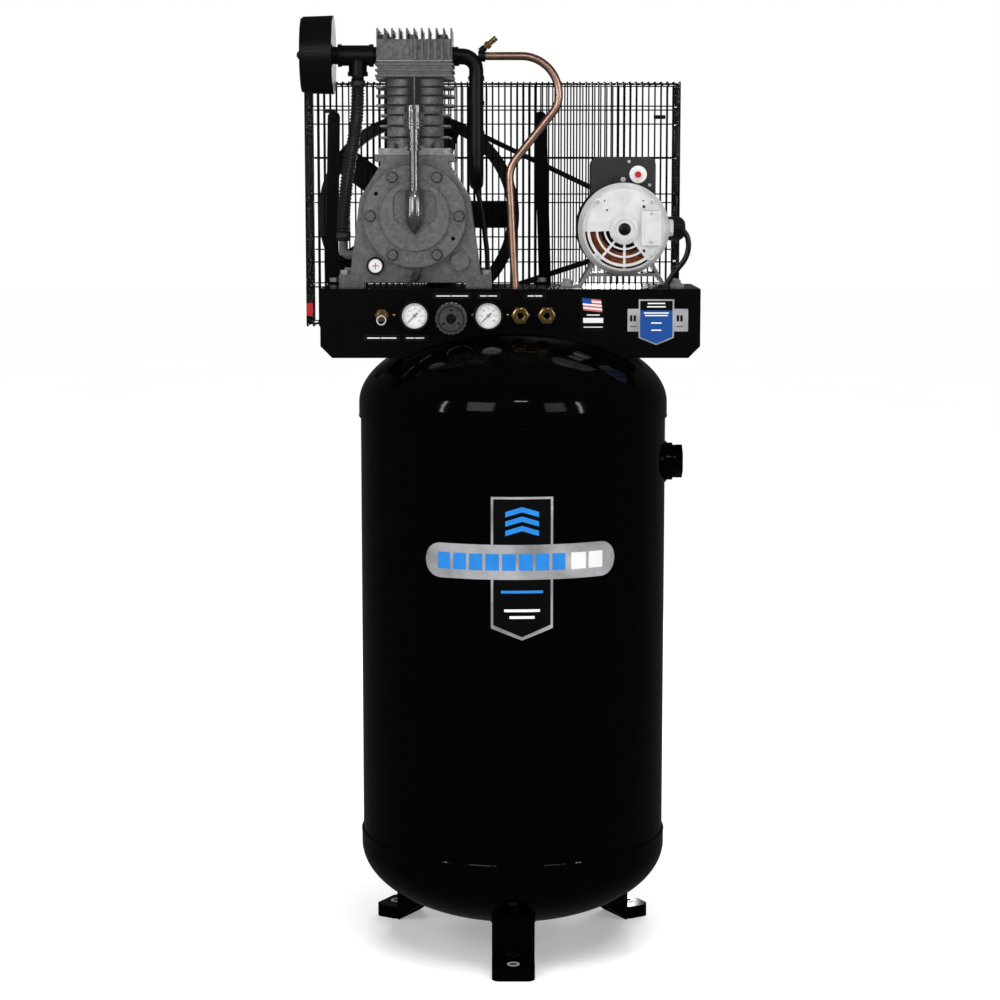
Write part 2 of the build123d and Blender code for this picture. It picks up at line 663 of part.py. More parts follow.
def motor_frame():
    length = MOTOR_REAR - MOTOR_FRONT
    frame = rod(MOTOR_R, length, (MOTOR_X, MOTOR_FRONT, MOTOR_Z), "Y")
    frame -= rod(MOTOR_R - 5, length, (MOTOR_X, MOTOR_FRONT, MOTOR_Z), "Y")
    return frame - rod(9, 30, (MOTOR_X + 70, CABLE_Y, MOTOR_Z + 2), "X")


def motor_front_bell():
    """The front end bell, with curved vent slots through its lower half."""
    bell = cone(82, 90, 26, (MOTOR_X, -81, MOTOR_Z), "Y")
    bell += cone(73, 82, 9, (MOTOR_X, BELL_FRONT, MOTOR_Z), "Y")
    bell -= cone(74, 84, 26, (MOTOR_X, -81, MOTOR_Z), "Y")
    bell += rod(27, 8, (MOTOR_X, BELL_FRONT - 5, MOTOR_Z), "Y")
    bell += rod(24, 24, (MOTOR_X, BELL_FRONT, MOTOR_Z), "Y")
    for inner, outer in VENT_ROWS:
        gap = degrees(asin(SPOKE_HALF / inner))
        for start, stop in zip(VENT_SPOKES, VENT_SPOKES[1:]):
            bell -= arc_slot(inner, outer, start + gap, stop - gap)
    return bell - rod(SHAFT_R + RUNNING, 22, (MOTOR_X, -84, MOTOR_Z), "Y")


def arc_slot(inner, outer, start, stop):
    """A curved slot about the motor's axis, between two radii and two angles."""
    near = CenterArc((0, 0), inner, start, stop - start)
    far = CenterArc((0, 0), outer, start, stop - start)
    edges = near + far + Line(near @ 0, far @ 0) + Line(near @ 1, far @ 1)
    face = Plane.XZ * make_face(edges)
    return Pos(MOTOR_X, -100, MOTOR_Z) * extrude(face, -40)


def motor_rear_bell():
    bell = cone(90, 80, 22, (MOTOR_X, MOTOR_REAR, MOTOR_Z), "Y")
    bell -= cone(84, 74, 16, (MOTOR_X, MOTOR_REAR, MOTOR_Z), "Y")
    bell += rod(28, 28, (MOTOR_X, MOTOR_REAR + 2, MOTOR_Z), "Y")
    for turn in range(0, 360, 45):
        x = MOTOR_X + 54 * cos(radians(turn))
        z = MOTOR_Z + 54 * sin(radians(turn))
        bell -= rod(9, 30, (x, MOTOR_REAR, z), "Y")
    return bell - rod(SHAFT_R + RUNNING, 40, (MOTOR_X, MOTOR_REAR, MOTOR_Z), "Y")


def motor_stator():
    core = rod(MOTOR_R - 5, 80, (MOTOR_X, -15, MOTOR_Z), "Y")
    ends = rod(76, 132, (MOTOR_X, -60, MOTOR_Z), "Y")
    return (core + ends) - rod(50, 140, (MOTOR_X, -64, MOTOR_Z), "Y")


def motor_rotor():
    shaft = rod(SHAFT_R, 304, (MOTOR_X, -82, MOTOR_Z), "Y")
    return shaft + rod(49, 84, (MOTOR_X, -17, MOTOR_Z), "Y")


def motor_base():
    """A pressed cradle: two splayed legs on flat flanges, bridged under the motor."""
    base = Part()
    leg = ((50, 1385), (57, 1385), (85, DECK_TOP + 5), (122, DECK_TOP + 5), (122, DECK_TOP), (80, DECK_TOP))
    for side in (-1, 1):
        base += upright([(MOTOR_X + side * x, z) for x, z in leg], -25, 80)
    base += block(MOTOR_X - 68, MOTOR_X + 68, -25, 80, 1352, 1358)
    base -= rod(MOTOR_R + 0.05, 200, (MOTOR_X, -60, MOTOR_Z), "Y")
    return base


def capacitor_cover():
    """The raised cover on the motor, which holds the capacitors and the overload reset."""
    cover = rounded_upright(154, 281, 1490, 1586, -28, 70, 16)
    cover -= rounded_upright(157, 278, 1480, 1583, -25, 67, 13)
    cover -= rod(MOTOR_R + 0.05, 200, (MOTOR_X, -60, MOTOR_Z), "Y")
    cover += rod(17, 3, (246, -31, 1552), "Y")
    return cover - rod(BUTTON_R + RUNNING, 12, (246, -34, 1552), "Y")


def reset_button():
    return rod(BUTTON_R, 13, (246, -37, 1552), "Y")


def terminal_cover():
    return rounded_upright(250, 288, 1414, 1483, -98, BELL_FRONT, 5)


def cable_gland():
    """A short gland whose threaded end sits in the frame's side hole, and the domed lead cover behind it."""
    left = MOTOR_X + MOTOR_R - 3
    height = MOTOR_Z + 2
    nut = hexagon(28, 4, (left + 3, CABLE_Y, height), "X") + rod(11, 7, (left, CABLE_Y, height), "X")
    dome = rod(LEAD_DOME_R, 42, (left - 5, LEAD_DOME_Y, MOTOR_Z), "X")
    dome = fillet(dome.faces().sort_by(Axis.X)[-1].edges(), 16)
    nut = (nut + dome) - rod(MOTOR_R, 140, (MOTOR_X, -80, MOTOR_Z), "Y")
    return nut + rod(8.9, 5, (left, CABLE_Y, height), "X")


CABLE = (
    (311, 1448),
    (325, 1448),
    (338, 1440),
    (345, 1426),
    (346, 1406),
    (339, 1385),
    (324, 1367),
    (304, 1341),
    (298, 1322),
)


def motor_cable():
    points = [(x, CABLE_Y, z) for x, z in CABLE]
    return swept(points, bend_radii(points), CABLE_R)


# ---------------------------------------------------------------- air controls


def air_manifold():
    """The bar behind the panel that joins the gauges, regulator and outlets to the tank."""
    bar = block(SAFETY_X - 12, OUTLET_XS[1] + 12, MANIFOLD_Y - 11, MANIFOLD_Y + 11, 1269, 1291)
    bar += rod(22, 56, (KNOB_X, -116, KNOB_Z), "Y")
    bar += rod(KNOB_SPINDLE_R, 16, (KNOB_X, -131, KNOB_Z), "Y")
    riser = rod(10, 60, (-150, MANIFOLD_Y, 1215)) - spheroid(HEAD_R, HEAD_RISE, TANGENT_HIGH)
    return bar + riser


def safety_valve_body():
    body = rod(8.5, 36, (SAFETY_X, -132, CONTROL_Z), "Y") + hexagon(24, 9, (SAFETY_X, -129, CONTROL_Z), "Y")
    body += rod(8, 12, (SAFETY_X, -143, CONTROL_Z), "Y")
    return body - rod(2.05, 22, (SAFETY_X, -144, CONTROL_Z), "Y")


def safety_valve_ring():
    stem = rod(2, 26, (SAFETY_X, -149, CONTROL_Z), "Y")
    ring = torus(8.5, 1.3, (SAFETY_X, -147, CONTROL_Z - 8.5), "Y")
    return stem + ring


def gauge_cases():
    gauges = []
    for x in GAUGE_XS:
        case = rod(GAUGE_R, 27, (x, -148, CONTROL_Z), "Y")
        case -= rod(25, 7, (x, -148, CONTROL_Z), "Y")
        case += rod(NEEDLE_PIN_R, 3.4, (x, -143.9, CONTROL_Z), "Y")
        stem = rod(7, 26, (x, -122, CONTROL_Z), "Y")
        gauges.append(case + stem)
    return Compound(children=gauges)


def gauge_needle(x):
    """A pointer at its zero, low and to the left."""
    pointer = upright([(-1.9, -8), (1.9, -8), (0.5, 20), (-0.5, 20)], -143.6, -142.8)
    needle = rod(3.4, 1.6, (0, -143.8, 0), "Y") + pointer
    needle -= rod(NEEDLE_PIN_R + RUNNING, 4, (0, -145, 0), "Y")
    return Pos(x, 0, CONTROL_Z) * Rot(0, -135, 0) * needle


def regulator_knob():
    knob = rod(31, 24, (KNOB_X, -158, KNOB_Z), "Y") + rod(26, 12, (KNOB_X, -134, KNOB_Z), "Y")
    for number in range(20):
        turn = radians(18 * number)
        x = KNOB_X + 32.5 * cos(turn)
        z = KNOB_Z + 32.5 * sin(turn)
        knob -= rod(3, 26, (x, -159, z), "Y")
    stem = rod(12, 6, (KNOB_X, -122.5, KNOB_Z), "Y")
    knob = knob + stem - rod(5, 8, (KNOB_X, -159, KNOB_Z), "Y")
    return knob - rod(KNOB_SPINDLE_R + RUNNING, 16, (KNOB_X, -131.5, KNOB_Z), "Y")


def air_outlets():
    outlets = []
    for x in OUTLET_XS:
        body = hexagon(31, 12, (x, -132, CONTROL_Z), "Y") + rod(15, 16, (x, -148, CONTROL_Z), "Y")
        body += rod(10, 36, (x, -132, CONTROL_Z), "Y")
        outlets.append(body - rod(8.6, 22, (x, -148, CONTROL_Z), "Y"))
    return Compound(children=outlets)


def pressure_switch():
    """The pressure switch under the deck, on its own stub of pipe."""
    box = block(110, 176, -70, 0, 1262, 1322)
    stub = rod(9, 60, (143, -35, 1210)) - spheroid(HEAD_R, HEAD_RISE, TANGENT_HIGH)
    return box + stub


# ---------------------------------------------------------------- belt guard


def grille(width, height, columns, rows, gaps=()):
    """A flat welded grille: upright wires at an even pitch, cross wires at given heights.

    Each gap is a rectangle left clear round a shaft, as half-sizes about a point.
    """
    pitch = (width - WIRE) / columns
    middles = [-width / 2 + WIRE / 2 + pitch * (column + 0.5) for column in range(columns)]
    holes = []
    cleared = []
    for x, y in gaps:
        near = [middle for middle in middles if abs(middle - x) < SHAFT_GAP]
        low = max(row for row in rows if row < y - SHAFT_GAP + WIRE)
        high = min(row for row in rows if row > y + SHAFT_GAP - WIRE)
        cleared.append((near[0], near[-1], low, high))
        across = near[-1] - near[0] + pitch - WIRE
        hole = Pos((near[0] + near[-1]) / 2, (low + high) / 2) * Rectangle(across, high - low - WIRE)
        holes.append(hole.wire())
    for x in middles:
        for low, high in zip(rows, rows[1:]):
            if any(x0 <= x <= x1 and y0 <= low and high <= y1 for x0, x1, y0, y1 in cleared):
                continue
            cell = Pos(x, (low + high) / 2) * Rectangle(pitch - WIRE, high - low - WIRE)
            holes.append(cell.wire())
    return extrude(Face(Wire.make_rect(width, height), holes), WIRE, dir=(0, 0, 1))


def even_rows(height, count):
    step = (height - WIRE) / count
    return [-height / 2 + WIRE / 2 + step * number for number in range(count + 1)]


def guard_half(front, rear, face_y, levels, gaps=()):
    """One half of the guard: a face grille with four narrow grilles round its edge."""
    width = GUARD_RIGHT - GUARD_LEFT
    height = GUARD_HIGH - GUARD_LOW
    depth = rear - front
    mid_x = (GUARD_LEFT + GUARD_RIGHT) / 2
    mid_z = (GUARD_LOW + GUARD_HIGH) / 2
    columns = round((width - WIRE) / WIRE_PITCH)
    side_height = height - 2 * WIRE
    rows = [z - mid_z for z in (GUARD_LOW + WIRE / 2, *levels, GUARD_HIGH - WIRE / 2)]
    side_rows = [-side_height / 2 + WIRE / 2, *rows[1:-1], side_height / 2 - WIRE / 2]
    places = [(x - mid_x, z - mid_z) for x, z in gaps]
    parts = [Pos(mid_x, face_y, mid_z) * Rot(90, 0, 0) * grille(width, height, columns, rows, places)]
    for z in (GUARD_LOW, GUARD_HIGH - WIRE):
        edge = grille(width, depth, columns, even_rows(depth, 2))
        parts.append(Pos(mid_x, (front + rear) / 2, z) * edge)
    for x in (GUARD_LEFT, GUARD_RIGHT - WIRE):
        side = grille(depth, side_height, round(depth / (2 * WIRE_PITCH)), side_rows)
        parts.append(Pos(x, (front + rear) / 2, mid_z) * Rot(0, 90, 90) * side)
    return Compound(children=parts)


def guard_front_half():
    shafts = ((PUMP_X, CRANK_Z), (MOTOR_X, MOTOR_Z))
    return guard_half(GUARD_FRONT + WIRE, GUARD_SPLIT, GUARD_FRONT + WIRE, FRONT_LEVELS, shafts)


def guard_rear_half():
    return guard_half(GUARD_SPLIT, GUARD_REAR - WIRE, GUARD_REAR, REAR_LEVELS)


def guard_posts():
    """Two flat bars that stand behind the deck and hold the guard, each on a foot tab."""
    posts = Part()
    for foot, top in zip(POST_FEET, POST_HEADS):
        outline = (
            (foot - POST_HALF, DECK_TOP),
            (foot + POST_HALF, DECK_TOP),
            (top + POST_HALF, 1668),
            (top - POST_HALF, 1668),
        )
        bar = upright(outline, 126, 131) + rod(POST_HALF, 5, (top, 126, 1667), "Y")
        tab = foot_tab(foot)
        bar += block(tab - 12, tab + 12, 92, 131, DECK_TOP, DECK_TOP + 5)
        posts += bar + rod(6, 14, (top, 121, 1667), "Y")
    return posts


def foot_tab(foot):
    """The middle of a post's tab, which lies a little inboard of the post."""
    return foot + POST_TAB if foot < 0 else foot - POST_TAB


def tank_feet():
    return Compound(children=[tank_foot(angle) for angle in (-90, 30, 150)])


LOW_PIN_Z = CRANK_Z - CRANK_THROW + ROD_LENGTH
HIGH_PIN_Z = CRANK_Z + CRANK_THROW + ROD_LENGTH


NODES = {
    "tank_shell": tank_shell,
    "tank_top_head": lambda: tank_head(TANGENT_HIGH, True),
    "tank_bottom_head": lambda: tank_head(TANGENT_LOW, False),
    "tank_feet": tank_feet,
    "side_port_plug": side_port_plug,
    "tank_drain_valve": tank_drain_valve,
    "tank_drain_handle": tank_drain_handle,
    "deck_platform": deck_platform,
    "deck_brackets": deck_brackets,
    "deck_bolts": deck_bolts,
    "crankcase": crankcase,
    "bearing_cover": bearing_cover,
    "main_bearings": main_bearings,
    "cylinder_block": cylinder_block,
    "valve_plate": valve_plate,
    "cylinder_head": cylinder_head,
    "pump_bolts": pump_bolts,
    "sight_glass": sight_glass,
    "oil_drain_plug": oil_drain_plug,
    "breather": breather,
    "crankshaft": crankshaft,
    "low_pressure_web_plug": lambda: web_plug(-18.5, CRANK_Z - CRANK_THROW / 2),
    "high_pressure_web_plug": lambda: web_plug(92.2, CRANK_Z + CRANK_THROW / 2),
    "low_pressure_piston": lambda: piston(LOW_Y, LOW_BORE, LOW_PIN_Z),
    "high_pressure_piston": lambda: piston(HIGH_Y, HIGH_BORE, HIGH_PIN_Z),
    "low_pressure_rod": lambda: connecting_rod(LOW_Y, LOW_BORE, LOW_PIN_Z),
    "high_pressure_rod": lambda: connecting_rod(HIGH_Y, HIGH_BORE, HIGH_PIN_Z),
    "flywheel": flywheel,
    "motor_pulley": motor_pulley,
    "drive_belts": drive_belts,
    "intake_tee": intake_tee,
    "intake_filter": intake_filter,
    "breather_hose": breather_hose,
    "intercooler_pipe": intercooler_pipe,
    "interstage_valve": interstage_valve,
    "discharge_tube": discharge_tube,
    "check_valve": check_valve,
    "motor_frame": motor_frame,
    "motor_front_bell": motor_front_bell,
    "motor_rear_bell": motor_rear_bell,
    "motor_stator": motor_stator,
    "motor_rotor": motor_rotor,
    "motor_base": motor_base,
    "capacitor_cover": capacitor_cover,
    "reset_button": reset_button,
    "terminal_cover": terminal_cover,
    "cable_gland": cable_gland,
    "motor_cable": motor_cable,
    "air_manifold": air_manifold,
    "safety_valve_body": safety_valve_body,
    "safety_valve_ring": safety_valve_ring,
    "gauge_cases": gauge_cases,
    "tank_gauge_needle": lambda: gauge_needle(GAUGE_XS[0]),
    "outlet_gauge_needle": lambda: gauge_needle(GAUGE_XS[1]),
    "regulator_knob": regulator_knob,
    "air_outlets": air_outlets,
    "pressure_switch": pressure_switch,
    "guard_front_half": guard_front_half,
    "guard_rear_half": guard_rear_half,
    "guard_posts": guard_posts,
}

os.makedirs("parts", exist_ok=True)
for name, make in NODES.items():
    export_step(make(), f"parts/{name}.step")
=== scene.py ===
"""The look of a vertical tank compressor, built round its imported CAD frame."""

import math
import random

import bmesh
import bpy
from mathutils import Matrix, Vector


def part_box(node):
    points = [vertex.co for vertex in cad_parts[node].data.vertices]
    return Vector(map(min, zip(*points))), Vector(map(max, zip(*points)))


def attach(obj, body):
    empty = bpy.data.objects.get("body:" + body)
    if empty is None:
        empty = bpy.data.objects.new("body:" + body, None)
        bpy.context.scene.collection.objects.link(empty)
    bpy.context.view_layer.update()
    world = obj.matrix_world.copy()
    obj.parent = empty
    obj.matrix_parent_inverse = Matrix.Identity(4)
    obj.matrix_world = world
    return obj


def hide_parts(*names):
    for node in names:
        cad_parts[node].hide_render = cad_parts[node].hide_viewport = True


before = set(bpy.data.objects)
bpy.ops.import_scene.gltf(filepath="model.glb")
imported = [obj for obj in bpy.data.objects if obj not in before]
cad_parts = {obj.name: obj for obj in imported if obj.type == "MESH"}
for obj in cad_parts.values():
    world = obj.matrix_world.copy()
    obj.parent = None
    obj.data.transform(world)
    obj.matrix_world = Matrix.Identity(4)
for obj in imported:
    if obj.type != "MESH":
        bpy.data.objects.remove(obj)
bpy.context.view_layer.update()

AXIS_TURN = {
    "X": Matrix.Rotation(math.radians(90), 4, "Y"),
    "Y": Matrix.Rotation(math.radians(-90), 4, "X"),
    "Z": Matrix.Identity(4),
}

# Places the CAD part shares, in metres.
TANK_R = 0.305
HEAD_R = 0.3082
DECK_FRONT = -0.120
PUMP_X = -0.193
CRANK_Z = 1.471
MOTOR_X = 0.217
MOTOR_Z = 1.446
PANEL_Z = 1.280
GAUGES = (("tank_gauge", -0.1916), ("outlet_gauge", -0.0486))
OUTLETS_X = (0.0135, 0.065)
KNOB_X = -0.1205
KNOB_Z = 1.275
GUARD_LEFT = -0.4235
GUARD_RIGHT = 0.341
GUARD_LOW = 1.242
GUARD_HIGH = 1.740
GUARD_FRONT = 0.135
GUARD_SPLIT = 0.240
GUARD_REAR = 0.345
WIRE_R = 0.0015
FRONT_LEVELS = (1.324, 1.375, 1.426, 1.513, 1.587, 1.654, 1.690)
REAR_LEVELS = (1.324, 1.395, 1.494, 1.587, 1.688)


# ---- materials


COAT_ROUGHNESS = 0.04
SMOOTHEST = 0.02
TONE_STOPS = (0.3, 0.7)


def set_inputs(node, values):
    for key, value in values.items():
        node.inputs[key].default_value = value


def map_range(tree, source, values):
    """Maps a socket's value onto another range, and gives the socket of the result."""
    node = tree.nodes.new("ShaderNodeMapRange")
    set_inputs(node, values)
    tree.links.new(source, node.inputs["Value"])
    return node.outputs["Result"]


def combine(tree, operation, first, second):
    """Joins two sockets by a sum, and gives the socket of the result."""
    node = tree.nodes.new("ShaderNodeMath")
    node.operation = operation
    tree.links.new(first, node.inputs[0])
    tree.links.new(second, node.inputs[1])
    return node.outputs["Value"]


def shade(name, color, roughness, grain, blotch=(0.06, 0.12), metallic=0.0, specular=0.5, coat=0.0,
          rough_spread=0.06, bevel=0.0):
    """A procedural finish: grain is (size in m, bump), blotch is (size in m, how much colour varies)."""
    material = bpy.data.materials.new(name)
    material.use_nodes = True
    tree = material.node_tree
    nodes, links = tree.nodes, tree.links
    bsdf = nodes["Principled BSDF"]
    set_inputs(bsdf, {"Metallic": metallic, "Specular IOR Level": specular,
                      "Coat Weight": coat, "Coat Roughness": COAT_ROUGHNESS})
    coords = nodes.new("ShaderNodeTexCoord")

    def noise(size, detail=4.0):
        texture = nodes.new("ShaderNodeTexNoise")
        set_inputs(texture, {"Scale": 1.0 / size, "Detail": detail})
        links.new(coords.outputs["Object"], texture.inputs["Vector"])
        return texture.outputs["Fac"]

    patch_size, patch = blotch
    tones = nodes.new("ShaderNodeValToRGB")
    for element, stop, share in zip(tones.color_ramp.elements, TONE_STOPS, (1 - patch, 1 + patch)):
        element.position = stop
        element.color = (*[min(1, c * share) for c in color], 1)
    links.new(noise(patch_size, 6.0), tones.inputs["Fac"])
    links.new(tones.outputs["Color"], bsdf.inputs["Base Color"])

    spread = {"To Min": max(SMOOTHEST, roughness - rough_spread),
              "To Max": min(1.0, roughness + rough_spread)}
    links.new(map_range(tree, noise(patch_size * 0.4), spread), bsdf.inputs["Roughness"])

    size, strength = grain
    bump = nodes.new("ShaderNodeBump")
    set_inputs(bump, {"Strength": strength, "Distance": size * 0.5})
    links.new(noise(size), bump.inputs["Height"])
    if bevel:
        edge = nodes.new("ShaderNodeBevel")
        edge.samples = 4
        edge.inputs["Radius"].default_value = bevel
        links.new(edge.outputs["Normal"], bump.inputs["Normal"])
    links.new(bump.outputs["Normal"], bsdf.inputs["Normal"])
    return material


# Painted shade on the fins' front edges ends here in Y; the base flange keeps the barrel's painted light in
# Z.
FIN_RIM_PAINTED_SHADE = {"From Min": -0.0590, "From Max": -0.0530}
BASE_FLANGE_PAINTED_LIGHT = {"From Min": 1.6050, "From Max": 1.6080, "To Min": 1.0, "To Max": 0.0}


def shade_barrel(name, rim, barrel, roughness):
    """Cast paint: painted shade darkens the fins' front edges, painted light pales the barrel and base
    flange.
    """
    material = shade(name, barrel, roughness, grain=(0.0026, 0.9), blotch=(0.007, 0.4), bevel=0.0008)
    tree = material.node_tree
    nodes, links = tree.nodes, tree.links
    coords = nodes.new("ShaderNodeTexCoord")
    split = nodes.new("ShaderNodeSeparateXYZ")
    links.new(coords.outputs["Object"], split.inputs["Vector"])
    # Masks of the fins' painted shade and of the base flange's painted light.
    depth = map_range(tree, split.outputs["Y"], FIN_RIM_PAINTED_SHADE)
    flange = map_range(tree, split.outputs["Z"], BASE_FLANGE_PAINTED_LIGHT)
    base_color = nodes["Principled BSDF"].inputs["Base Color"]
    tones = base_color.links[0].from_socket
    blend = nodes.new("ShaderNodeMixRGB")
    blend.inputs["Color1"].default_value = (*rim, 1)
    links.new(combine(tree, "MAXIMUM", depth, flange), blend.inputs["Fac"])
    links.new(tones, blend.inputs["Color2"])
    links.new(blend.outputs["Color"], base_color)
    return material


def glass(name):
    material = bpy.data.materials.new(name)
    material.use_nodes = True
    bsdf = material.node_tree.nodes["Principled BSDF"]
    set_inputs(bsdf, {"Base Color": (1, 1, 1, 1), "Roughness": 0.02, "Alpha": 0.12})
    return material


GLOSS_BLACK = shade("gloss_black_paint", (0.0006, 0.0006, 0.0007), 0.08, specular=0.13, coat=0.04,
    grain=(0.004, 0.01), rough_spread=0.03)
DECK_BLACK = shade("deck_black_paint", (0.0018, 0.0018, 0.002), 0.2, specular=0.22,
    grain=(0.003, 0.02), bevel=0.0012)
CAST = shade("cast_grey_paint", (0.098, 0.098, 0.1), 0.42, grain=(0.0026, 0.9), blotch=(0.007, 0.28),
    bevel=0.0015)
# The barrel's paint carries painted light, and its fins' front edges painted shade.
BARREL_LIT_SHADED_CAST = shade_barrel("barrel_grey_painted_light_shade", (0.005, 0.005, 0.0052), (0.19, 0.19, 0.194), 0.4)
# The head's fins take a darker copy of the pump's grey paint: painted shade.
FIN_SHADED_CAST = shade("fin_grey_painted_shade", (0.084, 0.085, 0.088), 0.38, grain=(0.0022, 0.8),
    blotch=(0.007, 0.4), bevel=0.0008)
BREATHER_STEEL = shade("breather_steel", (0.3, 0.3, 0.305), 0.2, metallic=0.92,
    grain=(0.003, 0.006), blotch=(0.03, 0.2), bevel=0.0008)
DARK_CAST = shade("dark_cast", (0.01, 0.01, 0.0105), 0.45, specular=0.3, grain=(0.0016, 0.4),
    blotch=(0.04, 0.2), bevel=0.001)
SATIN_BLACK = shade("satin_black", (0.003, 0.003, 0.0033), 0.3, specular=0.35, grain=(0.0015, 0.12),
    bevel=0.0008)
PIPE_BLACK = shade("pipe_black", (0.0025, 0.0025, 0.0028), 0.36, specular=0.35, grain=(0.0014, 0.35),
    blotch=(0.02, 0.25))
WIRE_BLACK = shade("wire_black", (0.002, 0.002, 0.0022), 0.2, specular=0.3, grain=(0.002, 0.05))
ZINC = shade("zinc_steel", (0.72, 0.72, 0.71), 0.26, metallic=0.55, grain=(0.0008, 0.08),
    blotch=(0.01, 0.12), bevel=0.0008)
DARK_BOLT = shade("dark_bolt", (0.05, 0.05, 0.052), 0.38, metallic=0.6, grain=(0.0008, 0.15),
    blotch=(0.008, 0.25), bevel=0.0006)
BRASS = shade("brass", (0.8, 0.56, 0.24), 0.2, metallic=1.0, grain=(0.0007, 0.06), blotch=(0.01, 0.14),
    bevel=0.0004)
COPPER = shade("copper", (0.94, 0.56, 0.43), 0.34, metallic=1.0, grain=(0.0012, 0.05),
    blotch=(0.02, 0.12))
ALLOY = shade("cast_alloy", (0.62, 0.62, 0.62), 0.34, metallic=0.1, grain=(0.0014, 0.25),
    blotch=(0.02, 0.1), bevel=0.0012)
WINDING = shade("winding_copper", (0.55, 0.16, 0.06), 0.3, metallic=0.6, grain=(0.0018, 0.8),
    blotch=(0.006, 0.5))
BRIGHT_STEEL = shade("bright_steel", (0.5, 0.5, 0.5), 0.24, metallic=0.55, grain=(0.002, 0.1),
    blotch=(0.02, 0.3),
    bevel=0.0012)
BOLT_GREY = shade("bolt_grey_paint", (0.075, 0.075, 0.078), 0.34, grain=(0.0016, 0.4),
    blotch=(0.004, 0.4), bevel=0.001)
HOSE_SKIN = shade("hose_skin", (0.008, 0.008, 0.0083), 0.17, specular=1.0, coat=1.0,
    grain=(0.0008, 0.06))
RUBBER = shade("rubber", (0.004, 0.004, 0.004), 0.34, specular=0.4, grain=(0.0008, 0.15))
CABLE_SKIN = shade("cable_skin", (0.004, 0.004, 0.0042), 0.2, grain=(0.0008, 0.05))
PLASTIC = shade("moulded_plastic", (0.007, 0.007, 0.0075), 0.4, specular=0.35, grain=(0.0009, 0.3),
    bevel=0.0008)
KNOB_PLASTIC = shade("knob_plastic", (0.036, 0.036, 0.037), 0.5, grain=(0.0022, 0.9),
    blotch=(0.004, 0.5), bevel=0.0008)
FILTER = shade("filter_plastic", (0.0022, 0.0022, 0.0025), 0.34, specular=0.25, grain=(0.002, 0.05),
    bevel=0.0015)
COVER = shade("cover_paint", (0.028, 0.0285, 0.03), 0.34, grain=(0.002, 0.12), bevel=0.001)
WHITE = shade("white_enamel", (0.78, 0.78, 0.77), 0.3, grain=(0.001, 0.02), blotch=(0.02, 0.02))
RED = shade("red_plastic", (0.5, 0.012, 0.02), 0.3, grain=(0.001, 0.05), blotch=(0.005, 0.1))
BLUE = shade("blue_print", (0.006, 0.06, 0.27), 0.3, grain=(0.001, 0.02), blotch=(0.02, 0.1))
BRIGHT_BLUE = shade("bright_blue_print", (0.01, 0.2, 0.62), 0.3, grain=(0.001, 0.02),
    blotch=(0.03, 0.08))
SILVER = shade("silver_foil", (0.64, 0.64, 0.66), 0.3, metallic=0.6, grain=(0.001, 0.03),
    blotch=(0.07, 0.4))
PRINT_BLACK = shade("black_print", (0.002, 0.002, 0.002), 0.3, specular=0.25, grain=(0.001, 0.02))
PRINT_GREY = shade("grey_print", (0.3, 0.3, 0.31), 0.4, grain=(0.001, 0.02))
PRINT_PINK = shade("pink_print", (0.55, 0.13, 0.15), 0.35, grain=(0.001, 0.02))
LENS = glass("gauge_glass")

NODE_LOOKS = {
    GLOSS_BLACK: ("tank_shell", "tank_top_head", "tank_bottom_head", "tank_feet", "side_port_plug"),
    DECK_BLACK: ("deck_platform", "deck_brackets", "guard_posts"),
    CAST: ("crankcase", "bearing_cover", "valve_plate"),
    BARREL_LIT_SHADED_CAST: ("cylinder_block",),
    BREATHER_STEEL: ("breather",),
    FIN_SHADED_CAST: ("cylinder_head",),
    DARK_CAST: ("flywheel", "motor_pulley", "motor_frame", "air_manifold"),
    PIPE_BLACK: ("intake_tee", "intercooler_pipe"),
    BOLT_GREY: ("pump_bolts",),
    DARK_BOLT: ("oil_drain_plug", "crankshaft", "motor_rotor",
                "low_pressure_web_plug", "high_pressure_web_plug"),
    ZINC: ("main_bearings", "tank_drain_handle", "safety_valve_ring"),
    BRIGHT_STEEL: ("deck_bolts", "motor_base"),
    BRASS: ("tank_drain_valve", "interstage_valve", "check_valve", "safety_valve_body", "air_outlets"),
    COPPER: ("discharge_tube",),
    ALLOY: ("motor_front_bell", "motor_rear_bell", "terminal_cover", "low_pressure_piston",
            "high_pressure_piston", "low_pressure_rod", "high_pressure_rod"),
    WINDING: ("motor_stator",),
    RUBBER: ("drive_belts", "breather_hose", "motor_cable"),
    PLASTIC: ("pressure_switch", "cable_gland"),
    KNOB_PLASTIC: ("regulator_knob",),
    FILTER: ("intake_filter",),
    COVER: ("capacitor_cover",),
    SATIN_BLACK: ("gauge_cases", "guard_front_half", "guard_rear_half"),
    WHITE: ("sight_glass",),
    RED: ("reset_button",),
    PRINT_BLACK: ("tank_gauge_needle", "outlet_gauge_needle"),
}


def dress_nodes():
    for material, names in NODE_LOOKS.items():
        for name in names:
            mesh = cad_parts[name].data
            mesh.materials.clear()
            mesh.materials.append(material)

# ---- mesh building


SHARP_ANGLE = math.radians(38)


def place(item):
    """Puts an object in the scene."""
    bpy.context.scene.collection.objects.link(item)


def add_piece(name, verts, faces, material, body="frame", smooth=True):
    mesh = bpy.data.meshes.new(name)
    mesh.from_pydata([tuple(v) for v in verts], [], faces)
    mesh.validate()
    face_outward(mesh)
    mesh.materials.append(material)
    mesh.polygons.foreach_set("use_smooth", [smooth] * len(mesh.polygons))
    piece = bpy.data.objects.new(name, mesh)
    place(piece)
    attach(piece, body)
    if smooth:
        sharpen(mesh)
    return piece


def face_outward(mesh):
    """Turns every face of each closed part to look out of it."""
    work = bmesh.new()
    work.from_mesh(mesh)
    bmesh.ops.recalc_face_normals(work, faces=work.faces)
    work.to_mesh(mesh)
    work.free()


